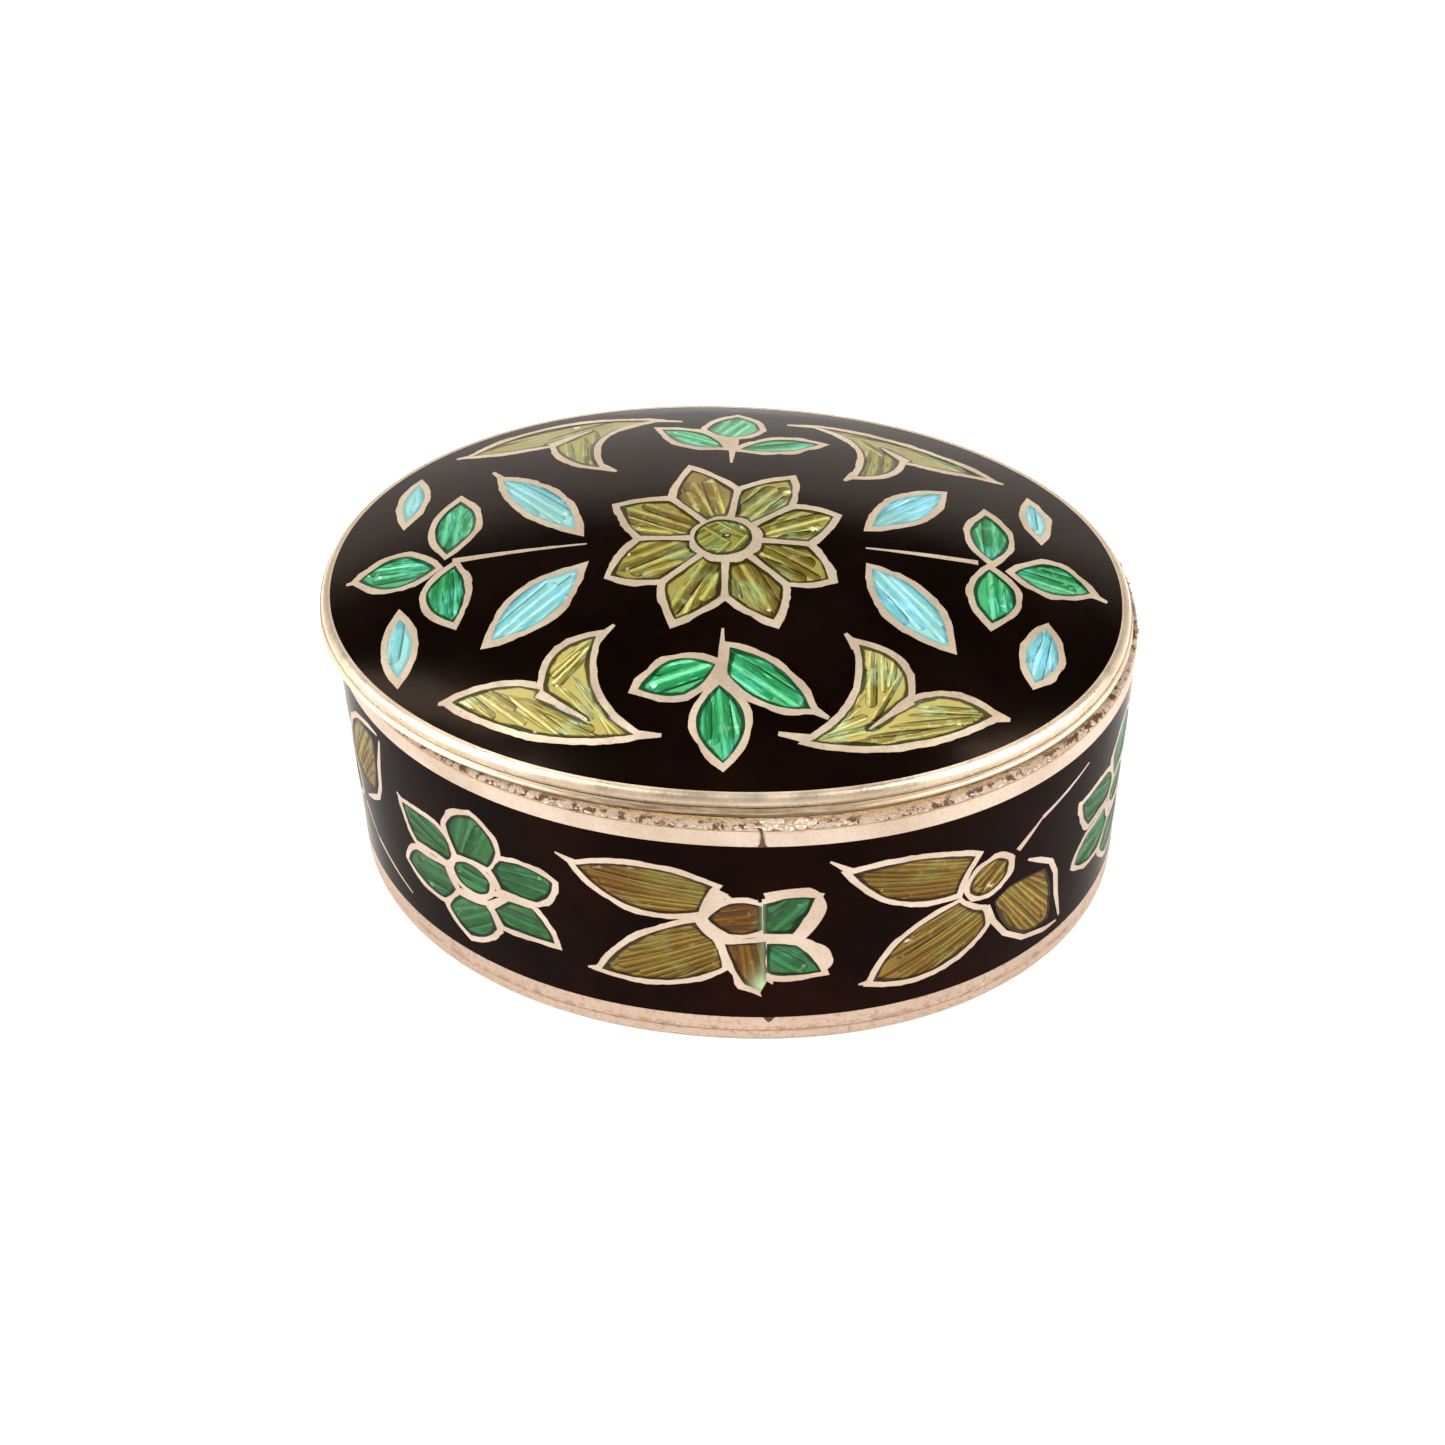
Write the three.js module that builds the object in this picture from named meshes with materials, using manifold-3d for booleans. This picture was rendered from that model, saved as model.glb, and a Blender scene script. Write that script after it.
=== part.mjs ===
// Oval silver pill box with a lift-off domed lid. Both are champleve work: cells are carved
// into the silver, lines of silver are left standing between them, and coloured glass enamel
// is fired into each cell, flush with the silver. Millimetres, +X along the length, +Y to the
// back, +Z up. The origin is the middle of the underside.

import * as THREE from "three";
import { mergeVertices } from "three/addons/utils/BufferGeometryUtils.js";
import Module from "manifold-3d";

const wasm = await Module();
wasm.setup();

// ---- Driving dimensions ----

// Every oval here is a superellipse of this power: 2 is an ellipse, more is squarer.
const OVAL_POWER = 2.07;
const OVAL_STEPS = 36;
const HIDDEN_STEPS = 18; // for surfaces under the enamel and inside the lid

// Box: a flat oval bottom, a wall strip standing on it and a thin liner inside the strip.
const BASE = { halfLength: 22.5, halfWidth: 18.1 };
const BOTTOM_THICKNESS = 0.75;
const WALL_TOP = 16.5;
const WALL_THICKNESS = 0.9;
const LINER_THICKNESS = 0.55;
const FIELD_BOTTOM = 1.9; // the enamelled band of the wall runs from here
const FIELD_TOP = 15.25; // to here

// Lid: a domed plate with a rolled border, a rim strip under its edge, and a skirt inside.
// The lid lies a little off centre, within the play of its skirt.
const LID_CENTRE = new THREE.Vector2(-0.6, 0.1);
const LID_FIELD = { halfLength: 22.1, halfWidth: 16.7 };
const LID_FIELD_EDGE = 17.7; // height of the dome where its enamel ends
const DOME_RISE = 3.0;
const DOME_RINGS = 3;
const LID_SHEET = 0.8;
const BORDER_WIDTH = 0.6;
const RIM_TOP = 17.2; // the plate's flat underside, where the rim strip starts
const RIM_INSIDE = { halfLength: 21.5, halfWidth: 16.75 };
const RIM_BEAD = 0.12;
const SKIRT = { halfLength: 20.6, halfWidth: 16.3 };
const SKIRT_CENTRE = new THREE.Vector2(-0.2, 0);
const SKIRT_THICKNESS = 0.6;
const SKIRT_DEPTH = 2.2; // below the top of the wall

// Enamel work.
const LINE = 0.42; // width of the silver left between two cells
const CARVE_DEPTH = 0.35;
const GAP = 0.03; // between enamel and silver
const SEAM = 0.05; // between soldered pieces
const PATTERN_TURN = THREE.MathUtils.degToRad(5.2); // the lid's pattern on its oval
const PATTERN_SHIFT = new THREE.Vector2(0.15, 0.1); // its middle from the oval's
const EDGE_STEPS = 3; // chords to one bowed edge
const HEART = 1.0; // width of the silver ring round the eye of a motif

// ---- Materials ----

const silver = new THREE.MeshStandardMaterial({ color: 0xd8c4ac, metalness: 1, roughness: 0.3 });
const black = new THREE.MeshStandardMaterial({ color: 0x120806, metalness: 0, roughness: 0.12 });
const green = new THREE.MeshStandardMaterial({ color: 0x1f8a50, metalness: 0, roughness: 0.15 });
const olive = new THREE.MeshStandardMaterial({ color: 0x8b8032, metalness: 0, roughness: 0.15 });
const turquoise = new THREE.MeshStandardMaterial({ color: 0x6cc8d6, metalness: 0, roughness: 0.15 });

// ---- Solids ----

// A closed three.js geometry as a solid that can be cut and joined.
function solid(geometry) {
  const bare = geometry.clone();
  bare.deleteAttribute("normal");
  bare.deleteAttribute("uv");
  const merged = mergeVertices(bare, 1e-5);
  const index = merged.index.array;
  const triangles = [];
  for (let i = 0; i < index.length; i += 3) {
    const [a, b, c] = [index[i], index[i + 1], index[i + 2]];
    if (a !== b && b !== c && c !== a) triangles.push(a, b, c);
  }
  return new wasm.Manifold(
    new wasm.Mesh({
      numProp: 3,
      vertProperties: merged.attributes.position.array,
      triVerts: new Uint32Array(triangles),
    }),
  );
}

function joined(solids) {
  return solids.reduce((whole, piece) => whole.add(piece));
}

function meshOf(name, body, material) {
  const made = body.getMesh();
  const positions = new Float32Array(made.numVert * 3);
  for (let i = 0; i < made.numVert; i++) {
    positions.set(made.vertProperties.subarray(i * made.numProp, i * made.numProp + 3), i * 3);
  }
  const geometry = new THREE.BufferGeometry();
  geometry.setAttribute("position", new THREE.BufferAttribute(positions, 3));
  geometry.setIndex(new THREE.BufferAttribute(made.triVerts, 1));
  geometry.computeVertexNormals();
  const mesh = new THREE.Mesh(geometry, material);
  mesh.name = name;
  return mesh;
}

// ---- Ovals ----

function ovalPoint(size, angle) {
  const reach = (value) => Math.sign(value) * Math.abs(value) ** (2 / OVAL_POWER);
  return new THREE.Vector2(
    size.halfLength * reach(Math.cos(angle)),
    size.halfWidth * reach(Math.sin(angle)),
  );
}

function inset(size, distance) {
  return { halfLength: size.halfLength - distance, halfWidth: size.halfWidth - distance };
}

function ovalOutline(size, centre = new THREE.Vector2()) {
  const points = [];
  for (let i = 0; i < OVAL_STEPS; i++) {
    points.push(ovalPoint(size, (i / OVAL_STEPS) * 2 * Math.PI).add(centre));
  }
  return points;
}

function prism(points, low, high, hole) {
  const shape = new THREE.Shape(points);
  if (hole) shape.holes.push(new THREE.Path(hole));
  const geometry = new THREE.ExtrudeGeometry(shape, { depth: high - low, bevelEnabled: false });
  geometry.translate(0, 0, low);
  return geometry;
}

function ovalPlate(size, low, high, centre) {
  return solid(prism(ovalOutline(size, centre), low, high));
}

function ovalRing(outer, inner, low, high, centre) {
  return solid(prism(ovalOutline(outer, centre), low, high, ovalOutline(inner, centre)));
}

// Turns a profile of { size, z } rings into an oval solid. The profile starts and ends on the
// axis, or its last ring repeats its first. A ring on the axis has the size POINT.
const POINT = { halfLength: 0, halfWidth: 0 };

function turned(profile, centre, steps = OVAL_STEPS) {
  const points = profile.map((ring) => new THREE.Vector2(ring.size.halfLength, ring.z));
  const geometry = new THREE.LatheGeometry(points, steps);
  const position = geometry.attributes.position;
  for (let i = 0; i < position.count; i++) {
    const ring = profile[i % profile.length];
    const column = Math.floor(i / profile.length) % steps;
    const p = ovalPoint(ring.size, (column / steps) * 2 * Math.PI).add(centre);
    position.setXYZ(i, p.x, p.y, ring.z);
  }
  return solid(geometry);
}

// ---- Outlines of cells ----

// A closed outline from corners [x, y, bow], counter-clockwise. The edge that leaves a corner
// bows outwards by its bow, or inwards if that is negative.
function outline(corners, steps = EDGE_STEPS) {
  const points = [];
  corners.forEach(([x, y, bow], i) => {
    const start = new THREE.Vector2(x, y);
    const [nextX, nextY] = corners[(i + 1) % corners.length];
    const end = new THREE.Vector2(nextX, nextY);
    if (!bow) {
      points.push(start);
      return;
    }
    const along = end.clone().sub(start).normalize();
    const control = start.clone().add(end).multiplyScalar(0.5);
    control.add(new THREE.Vector2(along.y, -along.x).multiplyScalar(2 * bow));
    const curve = new THREE.QuadraticBezierCurve(start, control, end);
    points.push(...curve.getPoints(steps).slice(0, -1));
  });
  return points;
}

function circle(x, y, radius) {
  return new THREE.EllipseCurve(x, y, radius, radius).getPoints(12).slice(0, -1);
}

// A thin stem that tapers from its root to a point.
function stem(rootX, rootY, tipX, tipY, width = LINE) {
  const root = new THREE.Vector2(rootX, rootY);
  const tip = new THREE.Vector2(tipX, tipY);
  const along = tip.clone().sub(root).normalize();
  const side = new THREE.Vector2(along.y, -along.x).multiplyScalar(width / 2);
  return [
    root.clone().add(side),
    tip.clone().addScaledVector(side, 0.3),
    tip.clone().addScaledVector(side, -0.3),
    root.clone().sub(side),
  ];
}

// Moves every edge of an outline outwards, or inwards if the distance is negative. A sharp
// corner moves at most twice the distance.
function grown(points, distance) {
  return points.map((point, i) => {
    const before = points[(i + points.length - 1) % points.length];
    const after = points[(i + 1) % points.length];
    const into = point.clone().sub(before).normalize();
    const out = after.clone().sub(point).normalize();
    const normalIn = new THREE.Vector2(into.y, -into.x);
    const normalOut = new THREE.Vector2(out.y, -out.x);
    const middle = normalIn.clone().add(normalOut).normalize();
    const stretch = 1 / Math.max(middle.dot(normalIn), 0.5);
    return point.clone().addScaledVector(middle, distance * stretch);
  });
}

// ---- The lid's pattern, round its centre before the pattern is turned ----

// The eight petals of the middle flower, as the angle and the reach of each tip.
const FLOWER_TIPS = [
  [22, 6.6],
  [60, 7.1],
  [107, 7.4],
  [152, 6.9],
  [205, 6.9],
  [248, 6.9],
  [293, 7.0],
  [331, 6.6],
];
const FLOWER_DISC = 1.65;
const FLOWER_INNER = 2.35;
const FLOWER_NOTCH = 4.9;

// A petal's sides run along the rays halfway to its neighbours, half a line from each ray.
function flowerPetal(number) {
  const count = FLOWER_TIPS.length;
  const [angle, reach] = FLOWER_TIPS[number];
  const previous = FLOWER_TIPS[(number + count - 1) % count][0] - (number === 0 ? 360 : 0);
  const next = FLOWER_TIPS[(number + 1) % count][0] + (number === count - 1 ? 360 : 0);
  const onRay = (rayAngle, radius, side) => {
    const turn = THREE.MathUtils.degToRad(rayAngle);
    const ray = new THREE.Vector2(Math.cos(turn), Math.sin(turn));
    const across = new THREE.Vector2(-ray.y, ray.x).multiplyScalar((side * LINE) / 2);
    const p = ray.multiplyScalar(radius).add(across);
    return [p.x, p.y];
  };
  const before = (angle + previous) / 2;
  const after = (angle + next) / 2;
  return outline([
    [...onRay(before, FLOWER_INNER, 1), 0],
    [...onRay(before, FLOWER_NOTCH, 1), 0.3],
    [...onRay(angle, reach, 0), 0.3],
    [...onRay(after, FLOWER_NOTCH, -1), 0],
    [...onRay(after, FLOWER_INNER, -1), -0.1],
  ]);
}

const LID_LEAVES = {
  // A trefoil grows from each end of the long axis, and from the back and the front.
  trefoil_left_upper: [[-15.6, 0.3, 1.1], [-15.4, 5.4, 1.1]],
  trefoil_left_outer: [[-16.1, -0.8, 1.4], [-20.6, -0.8, 1.2]],
  trefoil_left_lower: [[-15.1, -0.8, 1.5], [-14.5, -5.5, 0.7]],
  trefoil_right_upper: [[14.7, -0.1, 1.1], [14.6, 4.3, 1.0]],
  trefoil_right_outer: [[15.9, -0.9, 1.0], [20.3, -1.6, 1.5]],
  trefoil_right_lower: [[14.5, -0.9, 0.9], [14.5, -5.4, 1.4]],
  trefoil_back_middle: [[0.1, 11.5, 0.25], [1.6, 12.9, 0.4], [0.2, 14.7, 0.4], [-1.3, 12.9, 0.25]],
  trefoil_back_left: [[-0.5, 10.0, 0.9], [-4.1, 12.5, 1.0]],
  trefoil_back_right: [[0.6, 9.9, 0.8], [5.0, 10.9, 0.9]],
  trefoil_front_left: [[-0.4, -9.5, 1.1], [-4.4, -10.9, 1.1]],
  trefoil_front_right: [[0.4, -8.4, 0], [0.3, -10.0, 0.8], [4.8, -12.0, 0.8]],
  trefoil_front_middle: [[-0.1, -10.9, 1.2], [0.2, -15.2, 1.2]],
};
const LID_DROPS = {
  // Long drops stand beside the flower, small ones near the ends of the oval.
  drop_back_left: [[-13.1, 7.2, 1.1], [-8.5, 1.4, 1.2]],
  drop_back_right: [[8.1, 1.7, 1.1], [12.3, 6.0, 1.1]],
  drop_front_left: [[-8.1, -2.2, 1.2], [-12.5, -7.0, 1.3]],
  drop_front_right: [[8.0, -2.1, 1.3], [12.0, -7.4, 1.2]],
  small_drop_back_left: [[-18.2, 8.0, 0.6], [-18.4, 4.1, 0.7]],
  small_drop_back_right: [[17.3, 6.3, 0.6], [17.6, 2.9, 0.6]],
  small_drop_front_left: [[-17.8, -4.6, 0.7], [-17.3, -8.7, 0.8]],
  small_drop_front_right: [[17.4, -5.1, 0.8], [16.5, -9.0, 0.9]],
};
const LID_SPRAYS = {
  // A spray fills each corner: outer tip, notch, hook tip and inner tip.
  spray_back_left: [
    [-15.4, 10.9, -0.1],
    [-10.9, 11.3, 0],
    [-10.3, 10.7, 0.6],
    [-7.4, 7.6, -1.5],
    [-4.6, 14.3, 1.4],
  ],
  spray_front_left: [
    [-14.0, -10.8, 1.1],
    [-4.4, -13.6, -1.5],
    [-6.4, -7.4, 0.7],
    [-9.4, -10.1, 0],
    [-9.9, -10.6, 0.4],
  ],
  spray_front_right: [
    [4.3, -13.9, 0.9],
    [14.3, -11.6, 0.5],
    [10.0, -11.6, 0],
    [9.6, -11.0, 0.8],
    [7.0, -7.6, -0.7],
  ],
  spray_back_right: [[15.0, 8.5, 1.2], [4.4, 13.4, -0.9], [7.3, 6.8, 0.6], [9.9, 9.4, 0], [10.5, 9.7, -0.2]],
};
const LID_STEMS = [
  stem(-15.4, -0.3, -7.7, -0.1),
  stem(14.4, -0.5, 7.7, -0.3),
  stem(0.1, 11.2, 0.1, 7.9),
  stem(0, -10.6, 0, -7.0),
];
const TREFOIL_BACK_HEART = [-0.3, 11.0, 1.0];

// ---- The wall's pattern: s runs along the wall from the front to the right, z is height ----

// A green six-petalled flower, round its middle.
const WALL_FLOWER = {
  petal_1: [[1.4, 1.4, -0.1], [2.0, 0.2, 0], [4.2, 0.2, 0.3], [5.4, 2.4, 0.4], [2.1, 2.5, 0]],
  petal_2: [[-0.9, 1.4, -0.15], [1.2, 1.6, 0.15], [2.0, 3.0, 0.4], [0.4, 5.0, 0.1], [-1.5, 3.3, 0.1]],
  petal_3: [[-5.2, 2.5, 0.2], [-4.3, 0.3, 0], [-1.8, 0.3, 0.1], [-1.3, 1.1, 0.2], [-2.3, 2.7, 0.2]],
  petal_4: [[-5.2, -2.1, 0.4], [-2.4, -3.1, 0.1], [-1.4, -1.7, -0.1], [-2.0, -0.3, 0], [-4.2, -0.6, 0.2]],
  petal_5: [[-2.0, -3.5, 0.2], [-0.4, -5.0, 0.4], [1.5, -3.3, 0.1], [0.8, -1.7, -0.15], [-1.0, -1.9, 0.1]],
  petal_6: [[1.4, -1.7, 0], [1.9, -2.8, 0], [5.2, -2.7, 0.3], [3.9, -0.4, 0], [2.4, -0.5, 0]],
};
const WALL_FLOWER_DISC = 1.15;

// An olive bud with three petals, round its eye, and its stem.
const WALL_BUD = {
  upper_petal: [[-7.8, 3.0, 1.1], [-2.0, -0.4, -0.3], [-0.9, 2.1, 0.6]],
  lower_petal: [[-6.6, -5.8, 1.2], [0.3, -3.9, 0.1], [0.2, -2.2, 0], [-1.7, -1.2, 0.9]],
  outer_petal: [
    [1.1, -2.0, 0],
    [0.9, -3.2, 0.3],
    [2.8, -6.3, 0.4],
    [4.8, -6.3, 0.3],
    [4.6, -2.4, 0.2],
    [2.2, -0.9, 0],
  ],
};
const WALL_BUD_EYE = 1.2;
const WALL_BUD_STEM = [1.2, 1.2, 7.0, 4.2];

// Where the ends of the strip meet, half a bud runs into half a flower.
const WALL_JOINT = {
  upper_petal: [[-6.6, 12.5, 1.3], [0.1, 10.3, -0.3], [0.9, 12.2, 0.8]],
  lower_petal: [[-5.5, 4.6, 0.8], [1.2, 5.9, 0.1], [1.0, 7.7, -0.1], [-0.2, 9.3, 0.9]],
  small_petal: [[1.7, 7.6, 0.25], [2.9, 4.4, 0.15], [3.4, 5.3, 0], [3.2, 8.1, 0]],
  flower_upper_petal: [[3.5, 8.7, 0], [5.3, 8.7, 0], [6.2, 11.4, 0.2], [3.6, 11.2, 0]],
  flower_lower_petal: [[3.8, 5.4, 0.1], [6.7, 5.5, 0.4], [5.3, 7.9, 0], [3.8, 7.9, 0]],
};
const WALL_JOINT_EYE = [1.8, 9.9, 1.25];

// Places of the motifs' middles: s, then for a bud whether it is turned top to bottom.
const FLOWER_Z = 8.3;
const BUD_Z = 9.8;
const MODELLED_FLOWER = -13.2;
const OTHER_FLOWERS = [28.2, 58.8, 88.8];
const MODELLED_BUD = [15.95, false];
const OTHER_BUDS = [
  [43.8, true],
  [73.8, false],
  [102.95, true],
];

function moved(points, x, y) {
  return points.map((p) => new THREE.Vector2(p.x + x, p.y + y));
}

// Points of a bud put in their place on the wall.
function onBud(points, [s, turned]) {
  if (!turned) return moved(points, s, BUD_Z);
  const mirrored = points.map((p) => new THREE.Vector2(p.x, -p.y)).reverse();
  return moved(mirrored, s, FIELD_BOTTOM + FIELD_TOP - BUD_Z);
}

// The cells of one wall motif, by name. A motif whose cells aren't carved has straight edges.
function flowerCells(s, steps) {
  const cells = Object.entries(WALL_FLOWER).map(([name, corners]) => [
    "wall_flower_" + name,
    moved(outline(corners, steps), s, FLOWER_Z),
    green,
  ]);
  cells.push(["wall_flower_disc", circle(s, FLOWER_Z, WALL_FLOWER_DISC), green]);
  return cells;
}

function budCells(bud, steps) {
  const cells = Object.entries(WALL_BUD).map(([name, corners]) => [
    "wall_bud_" + name,
    onBud(outline(corners, steps), bud),
    olive,
  ]);
  cells.push(["wall_bud_eye", onBud(circle(0, 0, WALL_BUD_EYE), bud), olive]);
  return cells;
}

function jointCells() {
  const cells = Object.entries(WALL_JOINT).map(([name, corners]) => [
    "wall_joint_" + name,
    outline(corners),
    name.startsWith("flower") ? green : olive,
  ]);
  const [s, z, radius] = WALL_JOINT_EYE;
  cells.push(["wall_joint_eye", circle(s, z, radius), olive]);
  return cells;
}

// The silver in the middle of each motif, round its eye.
function wallHearts() {
  const [jointS, jointZ, jointRadius] = WALL_JOINT_EYE;
  const flowers = [MODELLED_FLOWER, ...OTHER_FLOWERS];
  const buds = [MODELLED_BUD, ...OTHER_BUDS];
  return [
    circle(jointS, jointZ, jointRadius + HEART),
    ...flowers.map((s) => circle(s, FLOWER_Z, WALL_FLOWER_DISC + HEART)),
    ...buds.map((bud) => onBud(circle(0, 0, WALL_BUD_EYE + HEART), bud)),
  ];
}

// ---- Wall ----

// Points of the wall's outer face by distance along it from the front, to the right.
const WALL_SAMPLES = 2000;
const wallPath = [];
for (let i = 0; i <= WALL_SAMPLES; i++) {
  const point = ovalPoint(BASE, (i / WALL_SAMPLES) * 2 * Math.PI - Math.PI / 2);
  const last = wallPath[i - 1];
  wallPath.push({ point, s: last ? last.s + point.distanceTo(last.point) : 0 });
}
const WALL_LENGTH = wallPath[WALL_SAMPLES].s;

function wallFrame(s) {
  const wanted = ((s % WALL_LENGTH) + WALL_LENGTH) % WALL_LENGTH;
  const after = Math.max(1, wallPath.findIndex((entry) => entry.s >= wanted));
  const a = wallPath[after - 1];
  const b = wallPath[after];
  const place = a.point.clone().lerp(b.point, (wanted - a.s) / (b.s - a.s));
  const along = b.point.clone().sub(a.point).normalize();
  return new THREE.Matrix4()
    .makeBasis(
      new THREE.Vector3(along.x, along.y, 0),
      new THREE.Vector3(0, 0, 1),
      new THREE.Vector3(along.y, -along.x, 0),
    )
    .setPosition(place.x, place.y, 0);
}

// A wall outline in (s, z) as a prism that goes straight into the wall at its middle.
function wallCutter(points) {
  const lowest = Math.min(...points.map((p) => p.x));
  const highest = Math.max(...points.map((p) => p.x));
  const middle = (lowest + highest) / 2;
  const reach = 1.6;
  const geometry = prism(moved(points, -middle, 0), -reach, reach);
  return solid(geometry.applyMatrix4(wallFrame(middle)));
}

function wallPieces() {
  const cells = [...flowerCells(MODELLED_FLOWER), ...budCells(MODELLED_BUD), ...jointCells()];
  const plain = [
    ...OTHER_FLOWERS.flatMap((s) => flowerCells(s, 1)),
    ...OTHER_BUDS.flatMap((bud) => budCells(bud, 1)),
  ];
  const silverLeft = [
    ...[...cells, ...plain].map(([, points]) => grown(points, LINE)),
    ...[MODELLED_BUD, ...OTHER_BUDS].map((bud) => onBud(stem(...WALL_BUD_STEM), bud)),
    ...wallHearts(),
  ];
  const islands = (margin) => joined(silverLeft.map((points) => wallCutter(grown(points, margin))));
  const outside = inset(BASE, -1);
  const carved = ovalRing(outside, inset(BASE, CARVE_DEPTH), FIELD_BOTTOM, FIELD_TOP);
  const skin = ovalRing(
    BASE,
    inset(BASE, CARVE_DEPTH - GAP),
    FIELD_BOTTOM + GAP,
    FIELD_TOP - GAP,
  );

  let strip = ovalRing(BASE, inset(BASE, WALL_THICKNESS), BOTTOM_THICKNESS + SEAM, WALL_TOP);
  strip = strip.subtract(carved.subtract(islands(0)));
  const enamels = cells.map(([name, points, material]) => {
    strip = strip.subtract(wallCutter(points).intersect(carved));
    return meshOf(name, wallCutter(grown(points, -GAP)).intersect(skin), material);
  });
  return [
    meshOf("wall_strip", strip, silver),
    meshOf("wall_ground_enamel", skin.subtract(islands(GAP)), black),
    ...enamels,
  ];
}

function boxPieces() {
  const linerOutside = inset(BASE, WALL_THICKNESS + SEAM);
  const linerInside = inset(linerOutside, LINER_THICKNESS);
  return [
    meshOf("bottom_plate", ovalPlate(BASE, 0, BOTTOM_THICKNESS), silver),
    meshOf(
      "wall_liner",
      ovalRing(linerOutside, linerInside, BOTTOM_THICKNESS + SEAM, WALL_TOP),
      silver,
    ),
    ...wallPieces(),
  ];
}

// ---- Lid ----

function scaled(size, share) {
  return { halfLength: size.halfLength * share, halfWidth: size.halfWidth * share };
}

function domeHeight(share) {
  return LID_FIELD_EDGE + DOME_RISE * (1 - share * share);
}

// The rings of the dome from the given share of the field to its top.
function domeRings(fromShare, lift) {
  const rings = [];
  for (let i = 0; i < DOME_RINGS; i++) {
    const share = fromShare * (1 - i / DOME_RINGS);
    rings.push({ size: scaled(LID_FIELD, share), z: domeHeight(share) + lift });
  }
  rings.push({ size: POINT, z: domeHeight(0) + lift });
  return rings;
}

// Everything under the dome, lifted by the given height, out to the given share of the field.
function underDome(share, lift, floor, steps) {
  const foot = [
    { size: POINT, z: floor },
    { size: scaled(LID_FIELD, share), z: floor },
  ];
  return turned([...foot, ...domeRings(share, lift)], LID_CENTRE, steps);
}

function lidOutline(points) {
  const middle = LID_CENTRE.clone().add(PATTERN_SHIFT);
  return points.map((p) => p.clone().rotateAround(new THREE.Vector2(), PATTERN_TURN).add(middle));
}

function lidCutter(points) {
  return solid(prism(lidOutline(points), RIM_TOP - 1, domeHeight(0) + 1));
}

function lidCells() {
  const from = (table, material) =>
    Object.entries(table).map(([name, corners]) => ["lid_" + name, outline(corners), material]);
  return [
    ...FLOWER_TIPS.map((_, i) => ["lid_flower_petal_" + (i + 1), flowerPetal(i), olive]),
    ["lid_flower_disc", circle(0, 0.1, FLOWER_DISC), olive],
    ...from(LID_LEAVES, green),
    ...from(LID_DROPS, turquoise),
    ...from(LID_SPRAYS, olive),
  ];
}

function lidPlate() {
  const outside = inset(LID_FIELD, -BORDER_WIDTH);
  const rolled = [
    { size: outside, z: RIM_TOP },
    { size: outside, z: RIM_TOP + 0.1 },
    { size: inset(outside, 0.1), z: RIM_TOP + 0.3 },
    { size: inset(outside, 0.32), z: RIM_TOP + 0.44 },
  ];
  const whole = turned([{ size: POINT, z: RIM_TOP }, ...rolled, ...domeRings(1, 0)], LID_CENTRE);
  // The sheet's underside meets the flat of the border at this share of the field.
  const flatFrom = Math.sqrt(1 - (RIM_TOP + LID_SHEET - LID_FIELD_EDGE) / DOME_RISE);
  return whole.subtract(underDome(flatFrom, -LID_SHEET, RIM_TOP - 1, HIDDEN_STEPS));
}

function lidPieces() {
  const cells = lidCells();
  const silverLeft = [
    ...cells.map(([, points]) => grown(points, LINE)),
    ...LID_STEMS,
    circle(...TREFOIL_BACK_HEART),
  ];
  const islands = (margin) => joined(silverLeft.map((points) => lidCutter(grown(points, margin))));
  const above = ovalPlate(LID_FIELD, RIM_TOP - 0.5, domeHeight(0) + 1, LID_CENTRE);
  const carved = above.subtract(underDome(1.05, -CARVE_DEPTH, RIM_TOP - 2, HIDDEN_STEPS));
  const skin = underDome(1, 0, RIM_TOP - 2)
    .intersect(ovalPlate(inset(LID_FIELD, GAP), RIM_TOP - 1, domeHeight(0) + 1, LID_CENTRE))
    .subtract(underDome(1.05, GAP - CARVE_DEPTH, RIM_TOP - 3, HIDDEN_STEPS));

  let plate = lidPlate().subtract(carved.subtract(islands(0)));
  const enamels = cells.map(([name, points, material]) => {
    plate = plate.subtract(lidCutter(points).intersect(carved));
    return meshOf(name, lidCutter(grown(points, -GAP)).intersect(skin), material);
  });
  return [
    meshOf("lid_plate", plate, silver),
    meshOf("lid_ground_enamel", skin.subtract(islands(GAP)), black),
    meshOf("lid_rim_strip", rimStrip(), silver),
    meshOf("lid_skirt", skirt(), silver),
    ...enamels,
  ];
}

// The strip under the lid's edge, with a bead along its foot. It rests on the wall's top.
function rimStrip() {
  const outside = inset(LID_FIELD, -BORDER_WIDTH);
  const low = WALL_TOP + SEAM;
  const high = RIM_TOP - SEAM;
  return turned(
    [
      { size: RIM_INSIDE, z: low },
      { size: outside, z: low },
      { size: inset(outside, -RIM_BEAD), z: low + 0.12 },
      { size: inset(outside, -RIM_BEAD), z: low + 0.22 },
      { size: outside, z: low + 0.34 },
      { size: outside, z: high },
      { size: RIM_INSIDE, z: high },
      { size: RIM_INSIDE, z: low },
    ],
    LID_CENTRE,
  );
}

function skirt() {
  const low = WALL_TOP - SKIRT_DEPTH;
  return ovalRing(SKIRT, inset(SKIRT, SKIRT_THICKNESS), low, RIM_TOP - SEAM, SKIRT_CENTRE);
}

// ---- The pill box ----

const pillBox = new THREE.Group();
const box = new THREE.Group();
box.add(...boxPieces());
const lid = new THREE.Group();
lid.add(...lidPieces());
pillBox.add(box, lid);

export default pillBox;
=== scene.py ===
"""Oval silver pill box with a lift-off domed lid, both covered in champleve enamel.

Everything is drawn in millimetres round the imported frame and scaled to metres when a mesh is
made. The lid's pattern is drawn in plan and laid on the dome. The wall's pattern is drawn flat,
with s running round the wall from the front to the right and z upwards, and wrapped on it.
"""

import math

import bpy
import numpy as np
from mathutils import Matrix, Vector
from mathutils.geometry import delaunay_2d_cdt


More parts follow.
